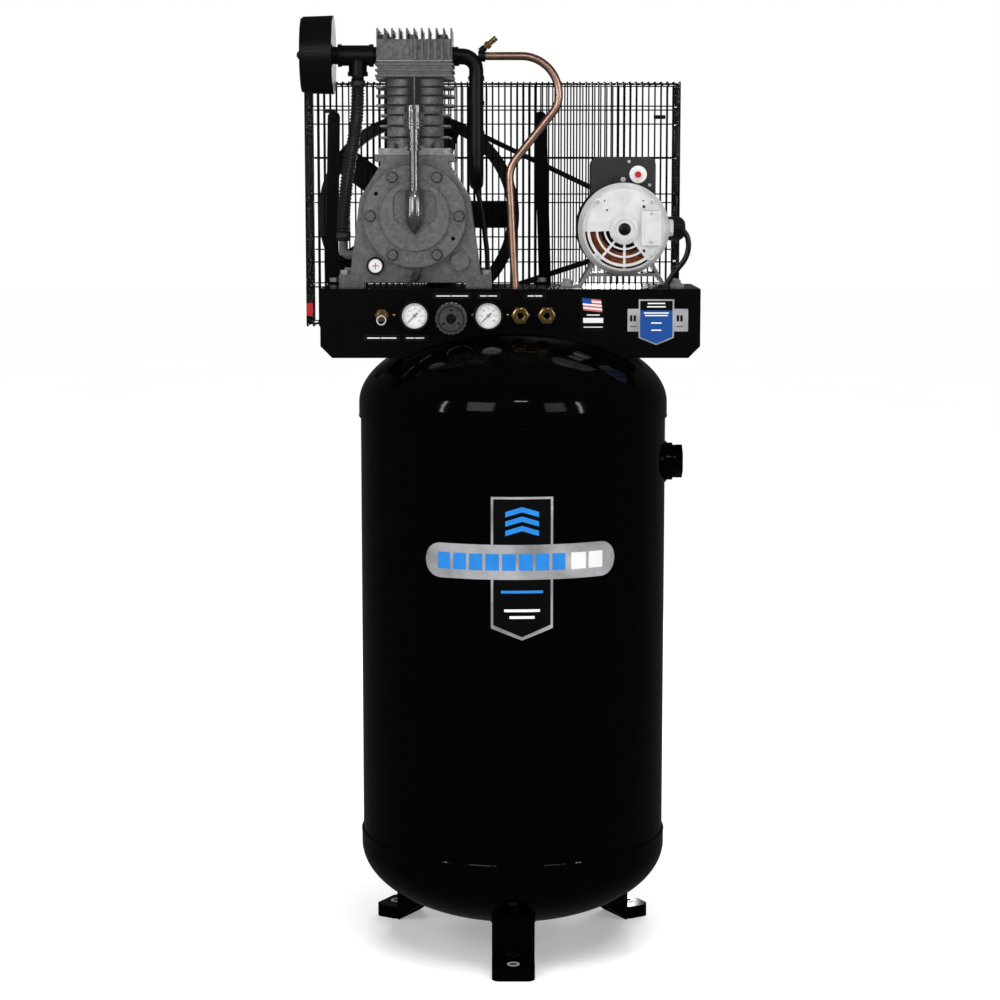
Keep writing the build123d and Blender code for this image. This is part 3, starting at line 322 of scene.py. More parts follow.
def sharpen(mesh):
    """Marks edges whose two faces meet sharply, so smooth shading stops there."""
    mesh.update()
    normals = {}
    for polygon in mesh.polygons:
        for key in polygon.edge_keys:
            normals.setdefault(key, []).append(polygon.normal)
    for edge in mesh.edges:
        pair = normals.get(tuple(sorted(edge.vertices)), [])
        if len(pair) == 2 and pair[0].dot(pair[1]) < math.cos(SHARP_ANGLE):
            edge.use_edge_sharp = True


class Shape:
    """Vertices and faces gathered from several simple solids into one mesh."""

    def __init__(self):
        self.verts = []
        self.faces = []

    def ring(self, points):
        start = len(self.verts)
        self.verts.extend(points)
        return list(range(start, start + len(points)))

    def bridge(self, a, b):
        """Joins two rings of points. A ring of one point is a pole, and takes triangles."""
        count = max(len(a), len(b))
        for i in range(count):
            j = (i + 1) % count
            corners = (a[i % len(a)], a[j % len(a)], b[j % len(b)], b[i % len(b)])
            self.faces.append(tuple(dict.fromkeys(corners)))

    def skin(self, rings, loop=False):
        """Joins a run of rings, and caps its ends or joins them to each other. A pole needs no cap."""
        for a, b in zip(rings, rings[1:]):
            self.bridge(a, b)
        if loop:
            self.bridge(rings[-1], rings[0])
            return self
        for cap in (rings[0][::-1], rings[-1]):
            if len(cap) > 1:
                self.faces.append(tuple(cap))
        return self

    def lathe(self, profile, at=(0, 0, 0), axis="Z", sides=40):
        """Turns (radius, height) pairs about an axis. A profile that ends where it starts makes a ring."""
        turn = Matrix.Translation(Vector(at)) @ AXIS_TURN[axis]
        is_ring = profile[0] == profile[-1]
        rings = []
        for radius, height in profile[:-1] if is_ring else profile:
            angles = [2 * math.pi * i / sides for i in range(sides if radius else 1)]
            points = [Vector((radius * math.cos(a), radius * math.sin(a), height)) for a in angles]
            rings.append(self.ring([turn @ point for point in points]))
        return self.skin(rings, loop=is_ring)

    def tube(self, points, radius, sides=8, loop=False):
        """A round wire along a polyline. radius is one value, or one for each point."""
        radii = radius if isinstance(radius, list) else [radius] * len(points)
        rings = []
        side = None
        count = len(points)
        for i, point in enumerate(points):
            before = points[(i - 1) % count] if (loop or i) else points[0]
            after = points[(i + 1) % count] if (loop or i < count - 1) else points[-1]
            ahead = (Vector(after) - Vector(before)).normalized()
            if side is None:
                helper = Vector((0, 0, 1)) if abs(ahead.z) < 0.9 else Vector((1, 0, 0))
                side = ahead.cross(helper).normalized()
            side = (side - ahead * side.dot(ahead)).normalized()
            other = ahead.cross(side)
            ring = []
            for k in range(sides):
                a = 2 * math.pi * k / sides
                ring.append(Vector(point) + radii[i] * (math.cos(a) * side + math.sin(a) * other))
            rings.append(self.ring(ring))
        return self.skin(rings, loop)

    def slab(self, low, high, bevel):
        """A box with its edges cut back by the bevel."""
        (x0, y0, z0), (x1, y1, z1) = low, high
        rings = []
        for z, inset in ((z0, bevel), (z0 + bevel, 0), (z1 - bevel, 0), (z1, bevel)):
            outline = (
                (x0 + bevel, y0 + inset), (x1 - bevel, y0 + inset),
                (x1 - inset, y0 + bevel), (x1 - inset, y1 - bevel),
                (x1 - bevel, y1 - inset), (x0 + bevel, y1 - inset),
                (x0 + inset, y1 - bevel), (x0 + inset, y0 + bevel),
            )
            rings.append(self.ring([Vector((x, y, z)) for x, y in outline]))
        return self.skin(rings)

    def plate(self, outline, y0, y1):
        """A flat plate whose XZ outline runs from y0 to y1."""
        front = self.ring([Vector((x, y0, z)) for x, z in outline])
        back = self.ring([Vector((x, y1, z)) for x, z in outline])
        self.bridge(front, back)
        self.faces += [tuple(front), tuple(back[::-1])]
        return self

    def hexagon(self, at, axis, flats, height):
        """A hexagon head with a chamfered top."""
        corner = flats / math.sqrt(3)
        return self.lathe([(corner, 0), (corner, height * 0.8), (corner * 0.86, height)], at, axis, sides=6)

    def made(self, name, material, slot, body="frame", smooth=True):
        return add_piece(name, self.verts, self.faces, material, body, smooth)


def closed(profile):
    """Ends a profile where it starts, so that it turns into a ring."""
    return profile + profile[:1]


def washer(inner, outer, low, high, rim=None):
    """A flat ring's profile. rim is where its outer edge starts, if that isn't at low."""
    return closed([(inner, low), (outer, low if rim is None else rim), (outer, high), (inner, high)])


def rectangle(x0, x1, z0, z1):
    return [(x0, z0), (x1, z0), (x1, z1), (x0, z1)]


def on_circle(u, v, radius, turn):
    """A place on a circle round (u, v), at a turn in degrees."""
    a = math.radians(turn)
    return u + radius * math.cos(a), v + radius * math.sin(a)


def arc_points(centre, radius, start, stop, count, plane="XZ"):
    points = []
    for i in range(count + 1):
        u, v = on_circle(0, 0, radius, start + (stop - start) * i / count)
        step = (u, 0, v) if plane == "XZ" else (u, v, 0)
        points.append(Vector(centre) + Vector(step))
    return points


BEND_STEPS = 4


def rounded_route(corners, radius):
    """Joins straight wires with small bends."""
    points = [Vector(corners[0])]
    for before, here, after in zip(corners, corners[1:], corners[2:]):
        here = Vector(here)
        start = here + (Vector(before) - here).normalized() * radius
        stop = here + (Vector(after) - here).normalized() * radius
        for i in range(BEND_STEPS + 1):
            t = i / BEND_STEPS
            points.append(start.lerp(here, t).lerp(here.lerp(stop, t), t))
    points.append(Vector(corners[-1]))
    return points


CORNER_STEPS = 5


def rounded_outline(x0, x1, z0, z1, radius):
    """The outline of an upright rectangle with round corners."""
    left, right, low, high = x0 + radius, x1 - radius, z0 + radius, z1 - radius
    points = []
    for x, z, start in ((right, low, -90), (right, high, 0), (left, high, 90), (left, low, 180)):
        for p in arc_points((x, 0, z), radius, start, start + 90, CORNER_STEPS):
            points.append((p.x, p.z))
    return points


# ---- belt guard


WIRE_SIDES = 6
WIRE_BEND = 0.006
UPRIGHTS = 61
SIDE_GAPS = 6
RIM_R = 0.0021


def guard_basket(name, face_y, split_y, levels, holes):
    """Half a cage of welded wire: bent uprights, and level wires bent round the corners behind them."""
    shape = Shape()
    inward = 1 if split_y > face_y else -1
    low, high = GUARD_LOW + WIRE_R, GUARD_HIGH - WIRE_R
    left, right = GUARD_LEFT + WIRE_R, GUARD_RIGHT - WIRE_R
    side = 2 * WIRE_R

    def bent_wire(*corners):
        shape.tube(rounded_route(corners, WIRE_BEND), WIRE_R, WIRE_SIDES)

    def straight_wire(start, stop):
        shape.tube([start, stop], WIRE_R, WIRE_SIDES)

    for i in range(UPRIGHTS):
        x = left + (right - left) * i / (UPRIGHTS - 1)
        cut = [hole for hole in holes if abs(x - hole[0]) < hole[2]]
        if cut:
            hole_x, hole_z, gap = cut[0]
            reach = math.sqrt(gap * gap - (x - hole_x) ** 2)
            bent_wire((x, split_y, high), (x, face_y, high), (x, face_y, hole_z + reach))
            bent_wire((x, split_y, low), (x, face_y, low), (x, face_y, hole_z - reach))
        else:
            bent_wire((x, split_y, low), (x, face_y, low), (x, face_y, high), (x, split_y, high))
    inner = face_y + inward * side
    near, far = left + side, right - side
    for z in levels:
        bent_wire((near, split_y, z), (near, inner, z), (far, inner, z), (far, split_y, z))
    depth = abs(split_y - face_y)
    for step in range(1, SIDE_GAPS):
        y = face_y + inward * depth * step / SIDE_GAPS
        straight_wire((left, y, low + side), (left, y, high - side))
        straight_wire((right, y, high - side), (right, y, low + side))
    middle = face_y + inward * depth * 0.5
    for z in (low + side, high - side):
        straight_wire((left, middle, z), (right, middle, z))
    rim_y = split_y - inward * 0.0022
    rim = [(left, rim_y, low), (right, rim_y, low), (right, rim_y, high), (left, rim_y, high)]
    for start, stop in zip(rim, rim[1:] + rim[:1]):
        shape.tube([start, stop], RIM_R, 8)
    for hole_x, hole_z, gap in holes:
        circle = arc_points((hole_x, face_y, hole_z), gap, 0, 360, 36)[:-1]
        shape.tube(circle, WIRE_R, WIRE_SIDES, loop=True)
    return shape.made(name, WIRE_BLACK, "wire_black")


def build_guard():
    holes = ((PUMP_X, CRANK_Z, 0.034), (MOTOR_X, MOTOR_Z, 0.030))
    front = guard_basket("guard_front_wires", GUARD_FRONT + WIRE_R, GUARD_SPLIT, FRONT_LEVELS, holes)
    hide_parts("guard_front_half")
    rear = guard_basket("guard_rear_wires", GUARD_REAR - WIRE_R, GUARD_SPLIT, REAR_LEVELS, ())
    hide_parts("guard_rear_half")
    clips = Shape()
    front_y, back_y = GUARD_FRONT - 0.005, GUARD_FRONT - 0.0005
    for x, z in ((-0.372, 1.680), (0.298, 1.668)):
        clips.slab((x - 0.012, front_y, z - 0.004), (x + 0.012, back_y, z + 0.004), 0.0012)
        clips.hexagon((x, front_y, z), "Y", 0.007, -0.004)
    clips.made("guard_clips", SATIN_BLACK, "wire_black")


# ---- hoses and cable


HOSE_ROUTE = (
    (-0.306, -0.004, 1.744), (-0.306, -0.004, 1.705), (-0.311, 0.008, 1.645), (-0.325, 0.020, 1.578),
    (-0.335, 0.032, 1.515), (-0.340, 0.040, 1.458), (-0.340, 0.040, 1.420),
)
HOSE_STEP = 0.0011
STEPS_PER_RIB = 6
VALLEY_R = 0.0112
RIB_HEIGHT = 0.0024

# The cable's route in XZ, at one depth.
CABLE_ROUTE = (
    (0.311, 1.448), (0.325, 1.448), (0.338, 1.440), (0.345, 1.426), (0.346, 1.406),
    (0.339, 1.385), (0.324, 1.367), (0.304, 1.341), (0.298, 1.322),
)
CABLE_Y = -0.045
CABLE_R = 0.0055


def nurbs_curve(name, route, resolution):
    """A curve object that runs smoothly along a route."""
    data = bpy.data.curves.new(name, "CURVE")
    data.dimensions = "3D"
    spline = data.splines.new("NURBS")
    spline.points.add(len(route) - 1)
    for target, point in zip(spline.points, route):
        target.co = (*point, 1)
    spline.order_u = 3
    spline.use_endpoint_u = True
    spline.resolution_u = resolution
    curve = bpy.data.objects.new(name, data)
    place(curve)
    return curve


def smooth_line(name, route):
    """The points of a smooth curve along a route."""
    holder = nurbs_curve(name, route, 24)
    mesh = bpy.data.meshes.new_from_object(holder)
    line = [v.co.copy() for v in mesh.vertices]
    bpy.data.objects.remove(holder)
    bpy.data.meshes.remove(mesh)
    return line


def even_points(line, step):
    """Points an even distance apart along a polyline."""
    out = [line[0].copy()]
    carry = 0.0
    for a, b in zip(line, line[1:]):
        length = (b - a).length
        at = step - carry
        while at <= length:
            out.append(a.lerp(b, at / length))
            at += step
        carry = length - (at - step)
    out.append(line[-1].copy())
    return out


def build_hose():
    """A ribbed hose: its wall swells over each rib, and a clamp holds each end."""
    line = even_points(smooth_line("hose_line", HOSE_ROUTE), HOSE_STEP)
    radii = []
    for i in range(len(line)):
        wave = 0.5 + 0.5 * math.cos(2 * math.pi * i / STEPS_PER_RIB)
        radii.append(VALLEY_R + RIB_HEIGHT * wave ** 0.7)
    hose = Shape().tube(line, radii, 20).made("ribbed_hose", HOSE_SKIN, "hose_rubber")
    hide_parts("breather_hose")
    clamps = Shape()
    for (x, y, end_z), inset in ((HOSE_ROUTE[0], -0.014), (HOSE_ROUTE[-1], 0.012)):
        z = end_z + inset
        clamps.lathe(washer(0.0134, 0.0148, -0.005, 0.005), (x, y, z))
        clamps.slab((x - 0.006, y - 0.022, z - 0.0045), (x + 0.006, y - 0.0135, z + 0.0045), 0.001)
        clamps.hexagon((x + 0.006, y - 0.018, z), "X", 0.006, 0.005)
    clamps.made("hose_clamps", DARK_BOLT, "dark_steel")


def build_cable():
    lead = nurbs_curve("motor_lead", [(x, CABLE_Y, z) for x, z in CABLE_ROUTE], 16)
    lead.data.bevel_depth = CABLE_R
    lead.data.bevel_resolution = 5
    lead.data.use_fill_caps = True
    lead.data.materials.append(CABLE_SKIN)
    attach(lead, "frame")
    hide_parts("motor_cable")
    boots = Shape()
    x, z = CABLE_ROUTE[0]
    gland_boot = [(0.0058, 0.004), (0.0078, 0.004), (0.0082, 0.0), (0.0098, -0.001),
                  (0.0098, -0.004), (0.0058, -0.004)]
    boots.lathe(closed(gland_boot), (x, CABLE_Y, z), "X")
    switch_boot = [(0.0058, 0), (0.0105, 0), (0.0105, 0.003), (0.0092, 0.005), (0.0058, 0.005)]
    boots.lathe(closed(switch_boot), (0.300, CABLE_Y, 1.331))
    boots.made("cable_boots", PLASTIC, "switch_black")


# ---- gauges


DIAL_Y = -0.1411
DIAL_START, DIAL_STOP = 225, -45
MARK_COUNT = 31
NUMBER_COUNT = 7
NUMBER_R = 0.0135


def build_gauges():
    for name, x in GAUGES:
        dial = [(0.0, 0.0), (0.0246, 0.0), (0.0246, 0.0006), (0.0, 0.0006)]
        face = Shape().lathe(dial, (x, DIAL_Y - 0.0005, PANEL_Z), "Y")
        face.made(f"{name}_dial", WHITE, "sight_white")
        build_dial_marks(name, x)
        build_dial_numbers(name, x)
        bezel = [(0.0247, -0.001), (0.0283, -0.001), (0.0290, 0.0002), (0.0290, 0.0035),
                 (0.0281, 0.0045), (0.0281, -0.0005)]
        ring = Shape().lathe(closed(bezel), (x, -0.148, PANEL_Z), "Y", 56)
        ring.made(f"{name}_bezel", SATIN_BLACK, "gauge_black")
        lens = [(0.0, 0.0), (0.012, 0.0001), (0.02, 0.0005), (0.0246, 0.0012),
                (0.0246, 0.0018), (0.0, 0.0012)]
        pane = Shape().lathe(lens, (x, -0.1478, PANEL_Z), "Y", 48)
        pane.made(f"{name}_lens", LENS, "gauge_black")


def build_dial_marks(name, x):
    """Radial strokes, every fifth one longer, inside a thin arc."""
    front, back = DIAL_Y - 0.0009, DIAL_Y - 0.0006
    marks = Shape()
    centre = Vector((x, PANEL_Z))
    for i in range(MARK_COUNT):
        a = math.radians(DIAL_START + (DIAL_STOP - DIAL_START) * i / (MARK_COUNT - 1))
        is_long = i % 5 == 0
        half = 0.00045 if is_long else 0.00025
        out = Vector((math.cos(a), math.sin(a)))
        across = Vector((-math.sin(a), math.cos(a))) * half
        start = centre + out * (0.0175 if is_long else 0.0195)
        stop = centre + out * 0.0222
        marks.plate([start - across, stop - across, stop + across, start + across], front, back)
    outer, inner = [arc_points((x, 0, PANEL_Z), r, DIAL_START, DIAL_STOP, 60) for r in (0.0224, 0.0219)]
    for corners in zip(outer, outer[1:], inner[1:], inner):
        marks.plate([(p.x, p.z) for p in corners], front, back)
    marks.made(f"{name}_marks", PRINT_BLACK, "needle_black", smooth=False)


def build_dial_numbers(name, dial_x):
    """The numbers 0 to 300, turned into one mesh so that they export as plain geometry."""
    labels = []
    for i in range(NUMBER_COUNT):
        turn = DIAL_START + (DIAL_STOP - DIAL_START) * i / (NUMBER_COUNT - 1)
        x, z = on_circle(dial_x, PANEL_Z, NUMBER_R, turn)
        labels.append(dial_number(50 * i, x, z, DIAL_Y - 0.0008))
    verts, faces = [], []
    bpy.context.view_layer.update()
    for label in labels:
        mesh = bpy.data.meshes.new_from_object(label)
        start = len(verts)
        verts.extend(label.matrix_world @ v.co for v in mesh.vertices)
        faces.extend(tuple(start + i for i in p.vertices) for p in mesh.polygons)
        bpy.data.objects.remove(label)
        bpy.data.meshes.remove(mesh)
    add_piece(f"{name}_numbers", verts, faces, PRINT_BLACK, smooth=False)


def dial_number(value, x, z, y):
    text = bpy.data.curves.new(f"digits_{value}", "FONT")
    text.body = str(value)
    text.size = 0.0042
    text.align_x = "CENTER"
    text.align_y = "CENTER"
    text.extrude = 0.0001
    label = bpy.data.objects.new(f"digits_{value}", text)
    label.matrix_world = Matrix.Translation((x, y, z)) @ Matrix.Rotation(math.radians(90), 4, "X")
    place(label)
    return label


# ---- panel


# Each label's blank bar: its ends in X, and its height.
LABEL_BARS = (
    (-0.150, -0.088, 1.3175), (-0.065, -0.032, 1.3175), (0.028, 0.056, 1.3175),
    (-0.285, -0.228, 1.2357), (-0.209, -0.174, 1.2357),
)
BAR_HALF = 0.0011
WORD_GAP = 0.001
PANEL_SCREWS = (-0.231, -0.079, -0.011)
LAYER = 0.0002


def printed(shape, outline, level):
    """Adds a printed layer. Level 0 lies on the deck's front, and each level on the one below."""
    front = DECK_FRONT - LAYER * (level + 1)
    return shape.plate(outline, front, front + LAYER)


def print_piece(name, outline, level, material, slot):
    printed(Shape(), outline, level).made(name, material, slot, smooth=False)


def build_panel():
    bars = Shape()
    plates = Shape()
    for x0, x1, z in LABEL_BARS:
        middle = x0 + (x1 - x0) * 0.46
        for left, right in ((x0, middle - WORD_GAP), (middle + WORD_GAP, x1)):
            printed(bars, rectangle(left, right, z - BAR_HALF, z + BAR_HALF), 1)
        printed(plates, rounded_outline(x0 - 0.007, x1 + 0.007, z - 0.0065, z + 0.0065, 0.002), 0)
    bars.made("label_strips", WHITE, "sight_white", smooth=False)
    plates.made("label_plates", SATIN_BLACK, "gauge_black", smooth=False)

    screws = Shape()
    head = [(0.0, -0.0038), (0.0028, -0.0034), (0.0042, -0.002), (0.0046, 0.0), (0.0, 0.0)]
    for x in PANEL_SCREWS:
        screws.lathe(head, (x, DECK_FRONT, PANEL_Z), "Y", 24)
    screws.made("panel_screws", BRASS, "brass")

    washers = Shape()
    for _, x in GAUGES:
        washers.lathe(washer(0.0085, 0.0145, -0.002, 0.0), (x, DECK_FRONT, PANEL_Z), "Y")
    washers.lathe(washer(0.0275, 0.030, -0.0015, 0.0, rim=-0.001), (KNOB_X, DECK_FRONT, KNOB_Z), "Y")
    washers.made("panel_washers", ZINC, "zinc_steel")


STICKER_X = 0.1555
STRIPES_LOW = 1.2880
STRIPE = 0.0034


def build_sticker():
    """A plain printed sticker: a slanted block of stripes over three blank lines."""
    card = rounded_outline(0.1310, 0.1790, 1.2490, 1.3160, 0.002)
    print_piece("sticker_card", card, 0, PRINT_BLACK, "gauge_black")

    def slanted(shape, x0, x1, first, last):
        corners = rectangle(x0, x1, STRIPES_LOW + STRIPE * first, STRIPES_LOW + STRIPE * last)
        printed(shape, [(x + 0.12 * (1.284 - z), z - 0.10 * (x - 0.155)) for x, z in corners], 1)

    red, white, blue = Shape(), Shape(), Shape()
    left, corner, right = 0.1370, 0.1550, 0.1740
    for i in range(7):
        slanted(red if i % 2 == 0 else white, corner if i > 3 else left, right, i, i + 1)
    slanted(blue, left, corner, 4, 7)
    for z, half, thick in ((1.2805, 0.0125, 0.0010), (1.2700, 0.0195, 0.0048), (1.2570, 0.0185, 0.0009)):
        printed(white, rectangle(STICKER_X - half, STICKER_X + half, z - thick, z + thick), 1)
    red.made("sticker_stripes", PRINT_PINK, "button_red", smooth=False)
    white.made("sticker_white", WHITE, "sight_white", smooth=False)
    blue.made("sticker_corner", BLUE, "gauge_black", smooth=False)


BADGE_X = 0.2785
SHIELD_HALF = 0.0315
SHIELD_TOP = 1.3080
DASH_HALF = 0.0012


def build_badge():
    """A silver band with a pointed blue shield over it, both blank but for dashes."""

    def shield(name, half, low, point, high, level, material, slot):
        left, right = BADGE_X - half, BADGE_X + half
        outline = [(left, low), (BADGE_X, point), (right, low), (right, high), (left, high)]
        print_piece(name, outline, level, material, slot)

    band = rounded_outline(0.2225, 0.3405, 1.2485, 1.2925, 0.0012)
    print_piece("badge_band", band, 0, SILVER, "zinc_steel")
    shield("badge_rim", 0.0345, 1.2360, 1.2220, 1.3110, 1, SILVER, "zinc_steel")
    shield("badge_shield", SHIELD_HALF, 1.2378, 1.2248, SHIELD_TOP, 2, BLUE, "gauge_black")
    head = rectangle(BADGE_X - SHIELD_HALF, BADGE_X + SHIELD_HALF, 1.2895, SHIELD_TOP)
    print_piece("badge_head", head, 3, PRINT_BLACK, "gauge_black")
    dashes = Shape()
    for z, half in ((1.3030, 0.017), (1.2965, 0.018), (1.2845, 0.024), (1.2795, 0.022),
                    (1.2650, 0.010), (1.2510, 0.010)):
        printed(dashes, rectangle(BADGE_X - half, BADGE_X + half, z - DASH_HALF, z + DASH_HALF), 4)
    dashes.made("badge_dashes", WHITE, "sight_white", smooth=False)
    marks = Shape()
    for x in (0.2330, 0.3240):
        for dx in (-0.0035, 0.0035):
            printed(marks, rounded_outline(x + dx - 0.0024, x + dx + 0.0024, 1.2680, 1.2800, 0.0012), 1)
        printed(marks, rectangle(x - 0.0060, x + 0.0060, 1.2575, 1.2590), 1)
    marks.made("badge_marks", PRINT_BLACK, "gauge_black", smooth=False)


# ---- tank details


# Distances along the decal are measured round the shell from its front.
DECAL_S = 0.016
PATCH_THICK = 0.00012
BANNER_LIFT = 0.0004
PRINT_LIFT = 0.00055
BAND_LIFT = 0.0007
BLOCK_LIFT = 0.00085
BANNER_HALF = 0.0595
BANNER_FOOT, BANNER_TOP = 0.6945, 0.947
BANNER_POINT = 0.023
BAND_LEFT, BAND_RIGHT = -0.178, 0.210
BAND_LOW, BAND_HIGH = 0.7885, 0.8555
BLOCK_LOW, BLOCK_HIGH = 0.8060, 0.8380
BLOCK_GAP = 0.006


def wrapped(name, left, right, low, high, lift, material, slot, columns):
    """A thin patch that hugs the shell. low and high give its edges at each arc distance."""
    shape = Shape()
    rings = []
    outer = TANK_R + lift
    inner = outer - PATCH_THICK
    for i in range(columns + 1):
        s = left + (right - left) * i / columns
        a = s / TANK_R
        corners = ((outer, low(s)), (outer, high(s)), (inner, high(s)), (inner, low(s)))
        rings.append(shape.ring([Vector((r * math.sin(a), -r * math.cos(a), z)) for r, z in corners]))
    shape.skin(rings).made(name, material, slot)


def banner(name, inset, lift, material, slot):
    half = BANNER_HALF - inset

    def low(s):
        return BANNER_FOOT + 1.4 * inset - BANNER_POINT * (1 - abs(s - DECAL_S) / half)

    wrapped(name, DECAL_S - half, DECAL_S + half, low, lambda s: BANNER_TOP - inset, lift, material, slot, 24)


def round_band():
    """A band with half-round ends."""
    half = (BAND_HIGH - BAND_LOW) / 2
    middle = (BAND_HIGH + BAND_LOW) / 2

    def reach(s):
        edge = min(s - BAND_LEFT, BAND_RIGHT - s)
        if edge >= half:
            return half
        t = min(1.0, max(0.0, 1 - edge / half))
        return max(0.0004, half * math.sqrt(1 - t * t))

    wrapped("decal_band", BAND_LEFT, BAND_RIGHT, lambda s: middle - reach(s), lambda s: middle + reach(s),
            BAND_LIFT, SILVER, "zinc_steel", 120)


def strip(name, s0, s1, z0, z1, lift, material, slot):
    wrapped(name, s0, s1, lambda s: z0, lambda s: z1, lift, material, slot, 12)


def blocks(name, s, count, width, material, slot):
    for i in range(count):
        strip(f"{name}_{i}", s, s + width, BLOCK_LOW, BLOCK_HIGH, BLOCK_LIFT, material, slot)
        s += width + BLOCK_GAP


def chevron_arm(name, side, z):
    left, right = sorted((DECAL_S, DECAL_S + side * 0.032))

    def low(s):
        return z - side * 0.30 * (s - DECAL_S)

    wrapped(name, left, right, low, lambda s: low(s) + 0.010, PRINT_LIFT, BRIGHT_BLUE, "gauge_black", 8)


def build_decal():
    banner("decal_banner_edge", 0.0, 0.00025, SILVER, "zinc_steel")
    banner("decal_banner", 0.0045, BANNER_LIFT, PRINT_BLACK, "gauge_black")
    round_band()
    blocks("decal_bar", -0.150, 8, 0.026, BRIGHT_BLUE, "gauge_black")
    blocks("decal_bar_pale", 0.112, 2, 0.031, WHITE, "sight_white")
    for i in range(3):
        for side, label in ((-1, "left"), (1, "right")):
            chevron_arm(f"decal_chevron_{i}_{label}", side, 0.882 + 0.018 * i)
    for i, (z, half) in enumerate(((0.765, 0.040), (0.729, 0.034), (0.716, 0.024))):
        material = BRIGHT_BLUE if i == 0 else WHITE
        strip(f"decal_line_{i}", DECAL_S - half, DECAL_S + half, z - 0.0026, z + 0.0026,
              PRINT_LIFT, material, "sight_white")


FOOT_TURNS = (-90, 30, 150)
FOOT_HALF = 0.0425
FOOT_WELD_STEPS = 30
HEAD_EDGE_Z = 0.203
HEAD_DEPTH = 0.1525
SEAM_R = 0.3062
SEAM_ANGLE = 2.4
PORT_Z = 0.9805
PORT_R = 0.0385


def weld_bead(shape, points, radius, seed, loop=True):
    """A bead laid in short overlapping ripples."""
    rng = random.Random(seed)
    radii = []
    for i in range(len(points)):
        ripple = 0.82 + 0.18 * abs(math.sin(i * 1.3)) + 0.08 * rng.random()
        radii.append(radius * ripple)
    shape.tube(points, radii, 8, loop=loop)


def head_height(reach):
    """The bottom head's height at a distance from the tank's axis."""
    return HEAD_EDGE_Z - HEAD_DEPTH * math.sqrt(1 - (reach / HEAD_R) ** 2)


def weld_foot(shape, turn):
    """A bead along each side of a foot, and one across its outer end."""
    spin = Matrix.Rotation(math.radians(turn), 4, "Z")
    shares = [i / (FOOT_WELD_STEPS - 1) for i in range(FOOT_WELD_STEPS)]
    for y in (-FOOT_HALF, FOOT_HALF):
        line = []
        for share in shares:
            x = 0.168 + 0.086 * share
            line.append(spin @ Vector((x, y, head_height(math.hypot(x, y)))))
        weld_bead(shape, line, 0.0028, turn, loop=False)
    across = []
    for share in shares:
        y = -0.042 + 0.084 * share
        across.append(spin @ Vector((0.2555, y, head_height(math.hypot(0.255, y)) - 0.0005)))
    weld_bead(shape, across, 0.003, turn + 1, loop=False)


def build_welds():
    seams = Shape()
    for z in (1.0752, 0.2288):
        circle = arc_points((0, 0, z), SEAM_R, 0, 360, 420, "XY")[:-1]
        weld_bead(seams, circle, 0.0028, 3)
    seam_x, seam_y = TANK_R * math.sin(SEAM_ANGLE), -TANK_R * math.cos(SEAM_ANGLE)
    lengthwise = [Vector((seam_x, seam_y, 0.23 + 0.0042 * i)) for i in range(202)]
    weld_bead(seams, lengthwise, 0.0024, 5, loop=False)
    port = []
    for turn in range(0, 360, 4):
        y, z = on_circle(0, PORT_Z, PORT_R, turn)
        port.append(Vector((math.sqrt(TANK_R ** 2 - y * y) + 0.0008, y, z)))
    weld_bead(seams, port, 0.0032, 7)
    seams.made("tank_welds", GLOSS_BLACK, "tank_black")

    feet = Shape()
    for turn in FOOT_TURNS:
        weld_foot(feet, turn)
    feet.made("feet_welds", GLOSS_BLACK, "tank_black")

    anchors = Shape()
    for turn in FOOT_TURNS:
        anchors.lathe(washer(0.0075, 0.0125, 0.026, 0.0272), (*on_circle(0, 0, 0.283, turn), 0))
    anchors.made("foot_washers", ZINC, "zinc_steel")


# ---- pump details


COVER_FRONT = -0.0751
SIGHT = Vector((PUMP_X - 0.078, -0.0652, 1.374))
SIGHT_PITCH = 0.0026
BREATHER_Y = -0.086
BOSS_R = 0.0193
# The breather boss's lower edge, as (radius, height) pairs that follow the CAD.
BOSS_CURVE = [
    (0.0018, 1.4357), (0.0056, 1.4395), (0.0092, 1.4441), (0.0124, 1.4490), (0.0151, 1.4543),
    (0.0173, 1.4602), (0.0186, 1.4664), (0.0192, 1.4720), (BOSS_R, 1.4765),
]
FILTER_Y = -0.004
FILTER_Z = 1.785


def build_cover_details():
    Shape().hexagon((0.0055, 0, 1.3042), "Z", 0.024, 0.012).made("check_valve_nut", BRASS, "brass")
    washers = Shape()
    for turn in range(0, 360, 60):
        x, z = on_circle(PUMP_X, CRANK_Z, 0.087, turn)
        washers.lathe(washer(0.0088, 0.0112, -0.0016, 0.0, rim=-0.0014), (x, COVER_FRONT, z), "Y", 28)
    washers.made("cover_washers", DARK_BOLT, "dark_steel")


def build_sight_glass():
    """A cross of dots in a round rim."""
    cross = Shape()
    dot = [(0.0, -0.0004), (0.0010, -0.0004), (0.0012, 0.0), (0.0, 0.0)]
    for i in range(-2, 3):
        for step in ((SIGHT_PITCH * i, 0, 0), (0, 0, SIGHT_PITCH * i)):
            cross.lathe(dot, SIGHT + Vector(step), "Y", 12)
    cross.made("sight_mark", RED, "button_red")
    rim = [(0.0135, -0.0012), (0.0155, -0.0018), (0.017, 0.0), (0.017, 0.004), (0.0135, 0.004)]
    Shape().lathe(closed(rim), SIGHT, "Y").made("sight_rim", SATIN_BLACK, "dark_steel")


